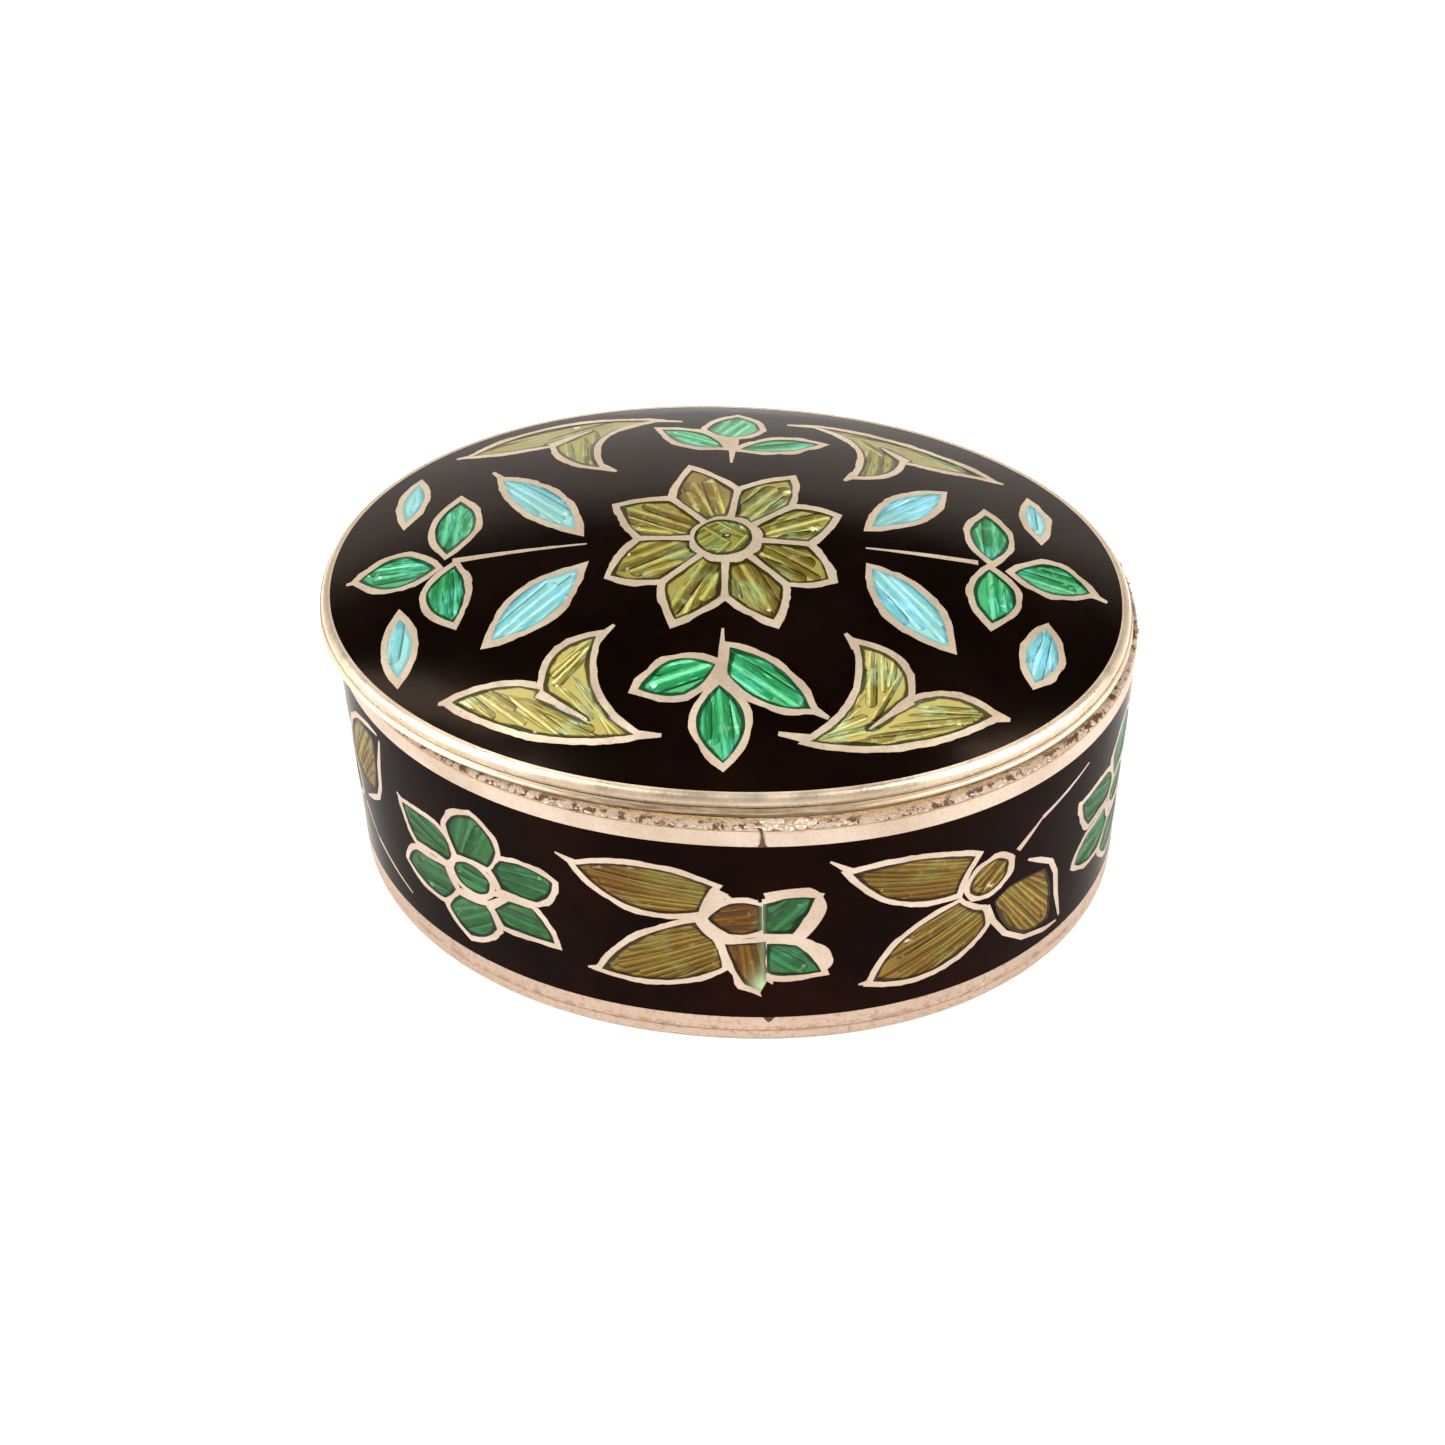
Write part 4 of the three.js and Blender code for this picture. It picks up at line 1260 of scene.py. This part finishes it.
def wall_pieces():
    """The wall's silver, its ground and the glass of its cells, by name, and the cells."""
    cells = wall_cells()
    loop, left, right = wall_loop()
    grid = inner_grid((left + 0.3, FIELD_BOTTOM + 0.3), (right - 0.3, FIELD_TOP - 0.3), 0.9)
    lines = wall_silver_lines()
    flat, triangles, silver, glass = flat_pattern(loop, cells, lines, grid, JOINT_BARE)
    triangles = welded(flat, triangles, left, right)
    normals = wall_normal(flat)
    ground = triangles[~silver & ~glass]
    over, under = on_wall(flat, ENAMEL_SINK), on_wall(flat, CARVE_DEPTH - GAP)
    pieces = {"wall_ground": slab("wall_ground", flat, ground, over, under, normals)}

    maker = MeshMaker()
    start, edges = carve(maker, flat, triangles, silver, strip_surface, normals, CARVE_DEPTH)
    upper = [(a, b) for a, b in edges if flat[a, 1] > FIELD_TOP - 0.01]
    lower = [(a, b) for a, b in edges if flat[a, 1] < FIELD_BOTTOM + 0.01]
    # The section of the strip from the top of its field, as (depth, z).
    section = [
        (0.0, FIELD_TOP + 0.35),
        (0.0, WALL_TOP - 0.34),
        (0.02, WALL_TOP - 0.22),
        (0.09, WALL_TOP - 0.09),
        (0.22, WALL_TOP),
        (0.84, WALL_TOP),
        (WALL_THICKNESS, WALL_TOP - 0.06),
        (WALL_THICKNESS, WALL_LOW),
        (0.04, WALL_LOW),
        (0.0, WALL_LOW + 0.05),
    ]
    outward = normals[:, :2]
    rings = []
    for depth, z in section:
        line = np.column_stack([flat[:, 0], np.full(len(flat), z)])
        dent = joint_dent(line) if depth < 0.3 and z > FIELD_TOP else 0.0
        rings.append(on_wall(line, depth + dent))
    profile = [(0.0, FIELD_TOP)] + section
    ring_normals = profile_normals([(-depth, z) for depth, z in profile], outward)[1:]
    ring_normals = [-n for n in ring_normals]
    last = add_rings(maker, upper, start, rings, ring_normals, normals)
    by_distance = {round(float(flat[a, 0]), 3): a for a, b in lower}
    by_distance.update({round(float(flat[b, 0]), 3): b for a, b in lower})
    closing = []
    for a, b in upper:
        foot_a, foot_b = (by_distance[round(float(flat[i, 0]), 3)] for i in (a, b))
        closing.append([last + b, last + a, start + foot_a, start + foot_b])
    maker.add_faces(closing, corners_of([(b, a, a, b) for a, b in upper], normals))
    # The carved face has two layers of points, and each ring of the section one more.
    layers = [PLAIN] * 2 + [BORDER] * 3 + [ARRIS] * 2 + [LEDGE] * 3 + [BORDER] * 2
    finish = np.repeat(np.array(layers, float), len(flat))
    pieces["wall_silver"] = maker.made("wall_silver", {"border": finish})
    for cell in cells:
        pieces[cell.name] = cell_piece(cell, on_wall)
    return pieces, cells


PATCH_RAISED, PATCH_SUNK = 0.012, 0.05


def patch(name, loop):
    """A thin raised patch on the wall with a given flat outline."""
    loop = np.array(loop, float)
    flat, triangles = triangulated([loop])
    triangles = triangles[inside(flat[triangles].mean(1), loop)]
    over, under = on_wall(flat, -PATCH_RAISED), on_wall(flat, PATCH_SUNK)
    return slab(name, flat, triangles, over, under, wall_normal(flat))


def on_ledge(points, depth):
    """Flat points (s, distance in from the wall's face) on the ledge at the top of the wall."""
    place, normal = WALL.at(points[:, 0])
    return at_height(place - normal * points[:, 1, None], WALL_TOP - depth)


JOINT_BLOBS, LEDGE_BLOBS = 34, 420  # lumps near the joint, and all round the ledge
BLOB_POINTS = 10
# Rings of a lump from its foot to its top: share of its radius, share of its height.
BLOB_RINGS = [(1.0, -0.3), (0.92, 0.25), (0.65, 0.75), (0.3, 0.97)]


def joint_pieces():
    """The gap where the strip's ends meet: notches in both borders, a crack and old solder."""
    top, foot = FIELD_TOP - 0.02, FIELD_BOTTOM + 0.02
    top_notch = [[3.2, top], [3.75, top], [3.6, 15.42], [3.5, 15.85], [3.42, 15.8], [3.35, 15.45]]
    foot_notch = [[3.45, foot], [3.7, 1.52], [3.82, 1.5], [4.1, foot]]
    crack = [
        [3.38, 15.7],
        [3.53, 15.7],
        [3.46, 15.95],
        [3.5, 16.2],
        [3.44, 16.5],
        [3.3, 16.5],
        [3.38, 16.1],
    ]
    pieces = [
        patch("joint_top_notch", top_notch),
        patch("joint_foot_notch", foot_notch),
        patch("joint_crack", crack),
    ]
    maker = MeshMaker()
    for _ in range(JOINT_BLOBS):
        s = JOINT_AT + 0.1 + rng.exponential(0.9)
        blob(maker, s, rng.uniform(0.02, 0.6), rng.uniform(0.08, 0.22), rng.uniform(0.08, 0.16))
    for _ in range(LEDGE_BLOBS):
        s, inward = rng.uniform(0, WALL.length), rng.uniform(0.02, 0.2)
        radius, height = rng.uniform(0.03, 0.1), rng.uniform(0.02, 0.07)
        place = on_ledge(np.array([[s, inward + 0.15]]), 0)[0, :2]
        if oval_share(LID_HALF + BORDER_WIDTH + 0.15, place - LID_CENTRE) > 1:
            blob(maker, s, inward, radius, height)
    pieces.append(maker.made("joint_solder"))
    return pieces


def blob(maker, s, inward, radius, height):
    """A small lump of solder on the ledge."""
    turn = np.arange(BLOB_POINTS) / BLOB_POINTS * 2 * math.pi
    rings = []
    for share, rise in BLOB_RINGS:
        around = radius * share * (1 + 0.15 * wobble(BLOB_POINTS, 3))
        flat = np.column_stack([s + 1.5 * around * np.cos(turn), inward - around * np.sin(turn)])
        rings.append(on_ledge(flat, -rise * height))
    starts = [maker.add_points(ring) for ring in rings]
    centre = maker.add_points(on_ledge(np.array([[s, inward]]), -height))
    foot = maker.add_points(on_ledge(np.array([[s, inward]]), 0.3 * height))
    following = [(i, (i + 1) % BLOB_POINTS) for i in range(BLOB_POINTS)]
    for low, high in zip(starts, starts[1:]):
        maker.add_faces([[low + i, low + j, high + j, high + i] for i, j in following])
    maker.add_faces([[starts[-1] + i, starts[-1] + j, centre] for i, j in following])
    maker.add_faces([[starts[0] + j, starts[0] + i, foot] for i, j in following])


def liner():
    low, high = WALL_LOW, WALL_TOP
    profile = [(0.0, low), (0.0, high - 0.06), (-0.04, high)]
    return strip_piece("box_liner", LINER_HALF, LINER_HALF - LINER_THICKNESS, np.zeros(2), profile)


def bottom():
    edge = oval_point(BASE_HALF, RING_ANGLES)
    outward = oval_normal(BASE_HALF, edge)
    profile = [(-0.4, 0.0), (-0.16, 0.03), (-0.05, 0.12), (0.0, 0.28), (0.0, 0.62)]
    profile.append((-0.05, BOTTOM_TOP))
    rings = [at_height(edge + outward * out, z) for out, z in profile]
    return ring_body("box_bottom", rings, outward, ([0, 0, 0], [0, 0, BOTTOM_TOP]))


# ---------------------------------------------------------------- materials


class Painter:
    """A node material with a Principled shader, and short ways to add nodes to it.

    Lengths in a material are in metres, on the object as it stands at rest.
    """

    def __init__(self, name, **constants):
        self.material = bpy.data.materials.new(name)
        self.material.use_nodes = True
        self.tree = self.material.node_tree
        self.shader = self.tree.nodes["Principled BSDF"]
        for key, value in constants.items():
            self.shader.inputs[key.replace("_", " ")].default_value = value

    def node(self, kind, inputs=None, **settings):
        made = self.tree.nodes.new(kind)
        for key, value in settings.items():
            setattr(made, key, value)
        for key, value in (inputs or {}).items():
            self.feed(made.inputs[key], value)
        return made

    def feed(self, socket, value):
        if isinstance(value, bpy.types.NodeSocket):
            self.tree.links.new(value, socket)
        else:
            socket.default_value = value

    def math(self, operation, a, b=0.0, c=0.0):
        made = self.node("ShaderNodeMath", {0: a, 1: b, 2: c}, operation=operation)
        return made.outputs[0]

    def times(self, a, b):
        return self.math("MULTIPLY", a, b)

    def ramp(self, value, low, high, to_low=0.0, to_high=1.0):
        """A smooth step from low to high."""
        inputs = {"Value": value, "From Min": low, "From Max": high}
        inputs.update({"To Min": to_low, "To Max": to_high})
        made = self.node("ShaderNodeMapRange", inputs, interpolation_type="SMOOTHSTEP")
        return made.outputs[0]

    def mix(self, factor, a, b):
        made = self.node("ShaderNodeMix", data_type="RGBA")
        self.feed(made.inputs["Factor"], factor)
        self.feed(made.inputs["A"], a)
        self.feed(made.inputs["B"], b)
        return made.outputs["Result"]

    def attribute(self, name):
        return self.node("ShaderNodeAttribute", attribute_name=name).outputs["Fac"]

    def place(self, stretch=(1, 1, 1)):
        """The place on the object in metres, stretched."""
        coordinates = self.node("ShaderNodeTexCoord").outputs["Object"]
        inputs = {"Vector": coordinates, "Scale": stretch}
        return self.node("ShaderNodeMapping", inputs).outputs[0]

    def across_box(self):
        """Metres to the right of the box's middle."""
        return self.node("ShaderNodeSeparateXYZ", {0: self.place()}).outputs["X"]

    def height(self):
        """Metres above the table, on the box's own body."""
        return self.node("ShaderNodeSeparateXYZ", {0: self.place()}).outputs["Z"]

    def noise(self, scale, detail=3.0, roughness=0.5, vector=None):
        """Noise with about scale lumps to a metre."""
        inputs = {"Scale": scale, "Detail": detail, "Roughness": roughness}
        inputs["Vector"] = vector or self.place()
        return self.node("ShaderNodeTexNoise", inputs).outputs["Fac"]

    def bump(self, height, distance, strength=1.0, under=None):
        inputs = {"Height": height, "Distance": distance, "Strength": strength}
        if under is not None:
            inputs["Normal"] = under
        return self.node("ShaderNodeBump", inputs).outputs[0]

    def set(self, socket, value):
        self.feed(self.shader.inputs[socket], value)


def rgb(red, green, blue):
    """A colour from its usual 0 to 255 values, as linear light."""
    parts = [v / 255 for v in (red, green, blue)]
    linear = [v / 12.92 if v <= 0.04045 else ((v + 0.055) / 1.055) ** 2.4 for v in parts]
    return (*linear, 1.0)


def silver_material(name, pale, dark, metal, border_metal, smooth, wear=0.6):
    """Worn silver: browner at the foot, pitted on the rough ledge and chipped on its arris."""
    paint = Painter(name, IOR=1.45)
    tone = paint.ramp(paint.noise(260, 4), 0.3, 0.7)
    colour = paint.mix(tone, dark, pale)
    border = paint.attribute("border")
    low = paint.ramp(paint.height(), 0.0026, 0.003, 0.75, 0.0)
    colour = paint.mix(low, colour, rgb(176, 150, 130))
    specks = paint.ramp(paint.noise(3100, 3, 0.6), 0.52, 0.64, 0.0, 0.6)
    colour = paint.mix(paint.times(specks, low), colour, rgb(124, 94, 72))
    seam = paint.times(paint.ramp(paint.height(), 0.001, 0.0013, 0.8, 0.0), border)
    rough_seam = paint.ramp(paint.noise(1300, 4, 0.7), 0.45, 0.6)
    colour = paint.mix(paint.times(seam, rough_seam), colour, rgb(134, 100, 74))
    grain = paint.noise(5200, 3, 0.6)
    grainy = (0.66 * dark[0], 0.54 * dark[1], 0.5 * dark[2], 1.0)
    colour = paint.mix(paint.ramp(grain, 0.4, 0.75, 0.0, 0.3), colour, grainy)
    paint.set("Metallic", paint.ramp(border, 0.2, 0.8, metal, border_metal))
    arris = paint.ramp(border, 2.2, 2.8)
    ledge = paint.math("SUBTRACT", paint.ramp(border, 1.4, 1.8), arris)
    colour = paint.mix(paint.times(ledge, 0.85), colour, rgb(180, 146, 96))
    pits = paint.ramp(paint.noise(1500, 5, 0.75), 0.54, 0.62)
    aside = paint.math("ABSOLUTE", paint.across_box())
    pits = paint.times(pits, paint.ramp(aside, 0.003, 0.011, 1.0, 0.3))
    colour = paint.mix(paint.times(ledge, pits), colour, rgb(78, 48, 24))
    dashes = paint.ramp(paint.noise(1700, 4, 0.7, paint.place((1, 1, 0.4))), 0.5, 0.56)
    colour = paint.mix(paint.times(arris, dashes), colour, rgb(96, 66, 42))
    paint.set("Base Color", colour)
    rough = paint.ramp(paint.noise(700, 4), 0.3, 0.7, smooth - 0.06, smooth + 0.08)
    paint.set("Roughness", paint.math("SUBTRACT", rough, paint.times(ledge, 0.08)))
    scratch = paint.noise(700, 4, 0.6, paint.place((1, 1, 9)))
    bumps = paint.bump(paint.math("ADD", grain, scratch), 0.00002, wear)
    deep = paint.times(paint.ramp(border, 1.4, 1.8), paint.noise(3300, 4, 0.75))
    paint.set("Normal", paint.bump(deep, 0.0003, 1.0, bumps))
    return paint.material


def rim_material():
    """The lid's rim strip: greyer, with fine scratches along it and a painted highlight at each
    side.
    """
    paint = Painter("silver_rim", Metallic=0.6, IOR=1.45)
    scratch = paint.noise(420, 5, 0.7, paint.place((1, 1, 14)))
    colour = paint.mix(paint.ramp(scratch, 0.35, 0.65), rgb(132, 114, 92), rgb(196, 176, 148))
    stain = paint.ramp(paint.noise(330, 4), 0.5, 0.7, 0.0, 0.5)
    colour = paint.mix(stain, colour, rgb(150, 118, 86))
    # Painted highlight: the strip grows paler towards the left and right of the box.
    far = paint.ramp(paint.math("ABSOLUTE", paint.across_box()), 0.003, 0.013, 0.0, 0.8)
    colour = paint.mix(far, colour, rgb(226, 206, 178))
    paint.set("Base Color", colour)
    paint.set("Roughness", paint.ramp(scratch, 0.3, 0.7, 0.24, 0.42))
    paint.set("Normal", paint.bump(scratch, 0.00003, 0.7))
    return paint.material


def dark_material():
    """Dirt and old solder in the joint of the wall strip."""
    paint = Painter("joint_dirt", Metallic=0.3)
    speck = paint.noise(3000, 3, 0.6)
    paint.set("Base Color", paint.mix(paint.ramp(speck, 0.4, 0.6), rgb(30, 16, 8), rgb(84, 56, 34)))
    paint.set("Roughness", paint.ramp(speck, 0.3, 0.7, 0.35, 0.7))
    paint.set("Normal", paint.bump(speck, 0.00006, 1.0))
    return paint.material


def black_material(name, gloss, dark, light):
    """Opaque black glass; the gloss is the shader's specular level."""
    brown = (1.0, 0.7, 0.52, 1)
    paint = Painter(name, Roughness=0.13, IOR=1.5, Specular_IOR_Level=gloss, Specular_Tint=brown)
    tone = paint.ramp(paint.noise(160, 5, 0.6), 0.35, 0.75)
    colour = paint.mix(tone, dark, light)
    paint.set("Base Color", colour)
    waves = paint.noise(420, 2, 0.4)
    paint.set("Normal", paint.bump(waves, 0.00003, 0.35))
    return paint.material


def enamel_material(name, deep, middle, light, contrast=1.0, metal=0.25, rim=0.9, gloss=1.0):
    """Clear coloured glass over silver that is cut with a round graver, with painted light and
    shade.
    """
    paint = Painter(
        name,
        Metallic=metal,
        IOR=1.5,
        Coat_Weight=gloss,
        Coat_Roughness=0.05,
        Specular_IOR_Level=0.12 * gloss,
    )
    tone = paint.attribute("cut_tone")
    side = paint.attribute("cut_side")
    end = paint.attribute("cut_end")
    cut = paint.ramp(tone, 0.05, 0.1)
    run = paint.node("ShaderNodeCombineXYZ", {"X": paint.times(side, 4.2)})
    paint.feed(run.inputs["Y"], paint.times(end, 0.9))
    paint.feed(run.inputs["Z"], paint.times(tone, 40.0))
    fine = paint.noise(1.0, 3, 0.6, run.outputs[0])
    patches = paint.ramp(paint.noise(420, 3), 0.32, 0.68)
    shade = (*[0.25 * c for c in deep[:3]], 1.0)
    glint = (*[min(1.0, 0.3 + c) for c in light[:3]], 1.0)
    warm = (2.6 * deep[0], 1.3 * deep[1], 0.8 * deep[2], 1.0)
    teal_glint = (0.45 * light[0], 0.85 * light[1], 1.3 * light[2], 1.0)

    # The uncut silver shows warm and even. Each cut has painted shade on one flank and a painted
    # highlight near the other.
    plain = paint.mix(paint.times(patches, 0.5), paint.mix(0.36, middle, light), middle)
    plain = paint.mix(0.16, plain, warm)
    flank = paint.ramp(side, -0.8, 0.9)
    flank_shade = paint.times(paint.math("MULTIPLY_ADD", tone, -0.6, 1.0), flank)
    in_cut = paint.mix(paint.times(flank_shade, contrast), middle, deep)
    # Painted highlight: a light streak along each cut, broken up along its length.
    offset = paint.math("ABSOLUTE", paint.math("ADD", side, 0.45))
    highlight_streak = paint.times(paint.ramp(offset, 0.05, 0.4, 1.0, 0.0), tone)
    highlight_streak = paint.times(highlight_streak, paint.ramp(fine, 0.35, 0.55, 0.3, 1.0))
    in_cut = paint.mix(paint.times(highlight_streak, contrast), in_cut, light)
    # Painted shade and highlights: dark and bright bands along the cuts.
    lines = paint.ramp(fine, 0.54, 0.66, 0.0, 0.75 * contrast)
    in_cut = paint.mix(lines, in_cut, deep)
    highlight_bands = paint.ramp(fine, 0.28, 0.4, 0.6 * contrast, 0.0)
    in_cut = paint.mix(highlight_bands, in_cut, light)
    # Painted shade along the dark flank of each cut and round its end.
    brink_shade = paint.math("MAXIMUM", paint.ramp(side, 0.6, 0.92), paint.ramp(end, 0.0, 0.14, 0.9, 0.0))
    in_cut = paint.mix(paint.times(brink_shade, 0.95 * contrast), in_cut, shade)
    colour = paint.mix(cut, plain, in_cut)
    # Painted glints: bright specks where the cuts end, and a few in between.
    specks = paint.ramp(paint.noise(1500, 2, 0.5), 0.62, 0.7)
    near_end = paint.ramp(end, 0.2, 0.8, 1.0, 0.12)
    specks = paint.times(paint.times(specks, near_end), 0.9 * contrast)
    colour = paint.mix(paint.times(specks, cut), colour, glint)
    cloud = paint.ramp(paint.noise(260, 2), 0.4, 0.6, 0.15, 0.5)
    colour = paint.mix(paint.times(paint.attribute("warmth"), cloud), colour, warm)
    # Painted highlights tinted teal, in patches on the bright bands of the cuts.
    teal_glint_share = paint.times(paint.ramp(paint.noise(380, 2), 0.5, 0.66, 0.0, 0.5), cut)
    teal_glint_share = paint.times(teal_glint_share, paint.ramp(fine, 0.36, 0.6, 1.0, 0.1))
    colour = paint.mix(teal_glint_share, colour, teal_glint)
    # A dark line round the cell's edge: partly deeper glass there, partly painted shade beside the
    # silver.
    near = paint.math("MULTIPLY_ADD", paint.noise(650, 3), 0.5, paint.attribute("edge"))
    dark_edge = paint.times(paint.ramp(near, 0.39, 0.5, 1.0, 0.0), rim)
    colour = paint.mix(dark_edge, colour, shade)
    colour = paint.mix(paint.attribute("milk"), colour, rgb(160, 184, 140))
    paint.set("Base Color", colour)
    paint.set("Roughness", paint.ramp(patches, 0.0, 1.0, 0.3, 0.45))
    hollow = paint.times(paint.times(side, side), cut)
    bed = paint.math("ADD", paint.math("SUBTRACT", hollow, cut), paint.times(fine, 0.15))
    paint.set("Normal", paint.bump(bed, 0.0001, 0.8))
    return paint.material


WALL_GLASS = {"metal": 0.2, "gloss": 0.12}
LOOKS = {
    "silver": silver_material("silver_lid", rgb(212, 194, 170), rgb(194, 174, 150), 0.5, 0.7, 0.3),
    # Darker than the lid's silver: painted shade on the upright wall.
    "wall_silver": silver_material(
        "silver_wall", rgb(194, 175, 158), rgb(176, 155, 136), 0.4, 0.45, 0.36
    ),
    "inner_silver": silver_material(
        "silver_inside", rgb(200, 182, 160), rgb(180, 160, 136), 0.6, 0.6, 0.36, 0.15
    ),
    "rim": rim_material(),
    "dirt": dark_material(),
    "black": black_material("black_enamel_lid", 0.5, rgb(4, 1, 0), rgb(14, 5, 3)),
    "wall_black": black_material("black_enamel_wall", 0.015, rgb(9, 1, 0), rgb(24, 5, 2)),
    "olive": enamel_material(
        "olive_enamel", rgb(62, 54, 12), rgb(130, 120, 50), rgb(204, 202, 118), 1.15
    ),
    "disc": enamel_material("disc_enamel", rgb(44, 56, 10), rgb(128, 118, 44), rgb(192, 200, 112)),
    "straw": enamel_material(
        "straw_enamel", rgb(62, 60, 12), rgb(152, 138, 66), rgb(230, 224, 150), 1.2
    ),
    "green": enamel_material("green_enamel", rgb(8, 76, 40), rgb(42, 148, 86), rgb(140, 234, 178)),
    "turquoise": enamel_material(
        "turquoise_enamel",
        rgb(74, 134, 150),
        rgb(110, 176, 176),
        rgb(196, 226, 222),
        contrast=0.9,
        metal=0.1,
        rim=0.35,
        gloss=0.7,
    ),
    # The wall's glass: browner than the lid's, and darker as painted shade on the upright wall.
    "wall_olive": enamel_material(
        "wall_olive_enamel", rgb(54, 34, 2), rgb(112, 88, 24), rgb(170, 148, 64), 0.95, **WALL_GLASS
    ),
    "wall_brown": enamel_material(
        "wall_brown_enamel", rgb(44, 26, 0), rgb(94, 60, 8), rgb(144, 104, 36), 0.8, **WALL_GLASS
    ),
    "wall_green": enamel_material(
        "wall_green_enamel", rgb(20, 40, 20), rgb(32, 84, 42), rgb(80, 150, 94), 0.52, **WALL_GLASS
    ),
}


# ---------------------------------------------------------------- the pill box


def settle(piece, body, look, *nodes):
    """Gives a piece its material and its body, and hides the CAD nodes that it stands for."""
    piece.data.materials.append(LOOKS[look])
    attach(piece, body)
    if nodes:
        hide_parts(*nodes)


lid, lid_glass = lid_pieces()
wall, wall_glass = wall_pieces()
settle(lid["lid_silver"], "lid", "silver", "lid_plate")
settle(lid["lid_ground"], "lid", "black", "lid_ground_enamel")
settle(rim_strip(), "lid", "rim", "lid_rim_strip")
settle(skirt(), "lid", "inner_silver", "lid_skirt")
settle(wall["wall_silver"], "base", "wall_silver", "wall_strip")
settle(wall["wall_ground"], "base", "wall_black", "wall_ground_enamel")
for piece in joint_pieces():
    settle(piece, "base", "wall_silver" if piece.name == "joint_solder" else "dirt")
settle(liner(), "base", "inner_silver", "wall_liner")
settle(bottom(), "base", "wall_silver", "bottom_plate")
for cell in lid_glass:
    settle(lid[cell.name], "lid", cell.kind, cell.name)
for cell in wall_glass:
    nodes = [cell.name] if cell.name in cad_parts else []
    settle(wall[cell.name], "base", cell.kind, *nodes)


# ---------------------------------------------------------------- floor, light and camera


def floor():
    half = 1.5
    mesh = bpy.data.meshes.new("floor")
    square = [(-half, -half, 0), (half, -half, 0), (half, half, 0), (-half, half, 0)]
    mesh.from_pydata(square, [], [(0, 1, 2, 3)])
    obj = bpy.data.objects.new("floor", mesh)
    obj.location.z = -0.00002  # just clear of the bottom plate
    bpy.context.scene.collection.objects.link(obj)
    paint = Painter("pale_floor", Roughness=0.9)
    tone = paint.ramp(paint.noise(30, 3), 0.3, 0.7)
    paint.set("Base Color", paint.mix(tone, (0.94, 0.94, 0.94, 1), (0.95, 0.95, 0.95, 1)))
    mesh.materials.append(paint.material)


WHITE, WARM = (1.0, 1.0, 1.0), (1.0, 0.97, 0.93)
LIGHT_DISTANCE = 0.7
# Name, azimuth, elevation, size, power and colour.
LIGHTS = [
    ("left_key", -78, 62, (0.25, 0.25), 2.5, WHITE),
    ("right_key", 82, 62, (0.25, 0.25), 2.5, WHITE),
    ("left_softbox", -70, 33, (0.5, 0.4), 5.2, WARM),
    ("right_softbox", 80, 32, (0.5, 0.4), 4.8, WARM),
    ("left_glow", -124, 54, (0.06, 0.25), 0.06, WARM),
    ("right_glow", 130, 57, (0.06, 0.25), 0.08, WARM),
]


def direction(azimuth, elevation):
    """From the box outwards, by angles in radians. Azimuth is 0 in front and grows to the right."""
    flat_share = math.cos(elevation)
    return Vector(
        (math.sin(azimuth) * flat_share, -math.cos(azimuth) * flat_share, math.sin(elevation))
    )


def area_light(name, azimuth, elevation, size, power, colour):
    """A soft light that faces the box, from angles in degrees."""
    light = bpy.data.lights.new(name, "AREA")
    light.shape = "RECTANGLE"
    light.size, light.size_y = size
    light.energy = power
    light.color = colour
    obj = bpy.data.objects.new(name, light)
    towards = direction(math.radians(azimuth), math.radians(elevation))
    obj.location = towards * LIGHT_DISTANCE
    obj.rotation_euler = towards.to_track_quat("Z", "Y").to_euler()
    bpy.context.scene.collection.objects.link(obj)


def studio_world():
    world = bpy.data.worlds.new("studio")
    bpy.context.scene.world = world
    world.use_nodes = True
    tree = world.node_tree
    background = tree.nodes["Background"]
    coordinates = tree.nodes.new("ShaderNodeTexCoord")
    parts = tree.nodes.new("ShaderNodeSeparateXYZ")
    ramp = tree.nodes.new("ShaderNodeValToRGB")
    tree.links.new(coordinates.outputs["Generated"], parts.inputs[0])
    tree.links.new(parts.outputs["Z"], ramp.inputs[0])
    tree.links.new(ramp.outputs[0], background.inputs["Color"])
    stops = ramp.color_ramp.elements
    stops[0].position, stops[0].color = 0.0, (0.8, 0.77, 0.74, 1)
    stops[1].position, stops[1].color = 0.4, (0.6, 0.57, 0.54, 1)
    for position, shade in ((0.56, 0.03), (1.0, 0.03)):
        stop = stops.new(position)
        stop.color = (shade, shade, shade, 1)
    background.inputs["Strength"].default_value = 1.0


CAMERA_ANGLES = (7.01, 42.5, -0.816)  # azimuth, elevation and roll, in degrees
CAMERA_TARGET = Vector((0, 0, 0.008))
CAMERA_DISTANCE = 0.13726
CAMERA_LENS = 58.33  # on a sensor 36 mm wide
CAMERA_SHIFT = (-0.0094, -0.0083)


def camera():
    """The photograph's view: a little round to the right, looking down at the lid."""
    azimuth, elevation, roll = (math.radians(angle) for angle in CAMERA_ANGLES)
    back = direction(azimuth, elevation)
    data = bpy.data.cameras.new("camera")
    data.sensor_width = 36
    data.lens = CAMERA_LENS
    data.shift_x, data.shift_y = CAMERA_SHIFT
    data.clip_start = 0.01
    obj = bpy.data.objects.new("camera", data)
    turn = back.to_track_quat("Z", "Y").to_matrix() @ Matrix.Rotation(roll, 3, "Z")
    obj.matrix_world = Matrix.Translation(CAMERA_TARGET + back * CAMERA_DISTANCE) @ turn.to_4x4()
    bpy.context.scene.collection.objects.link(obj)
    bpy.context.scene.camera = obj


floor()
studio_world()
for light in LIGHTS:
    area_light(*light)
camera()
bpy.context.scene.view_settings.view_transform = "Standard"
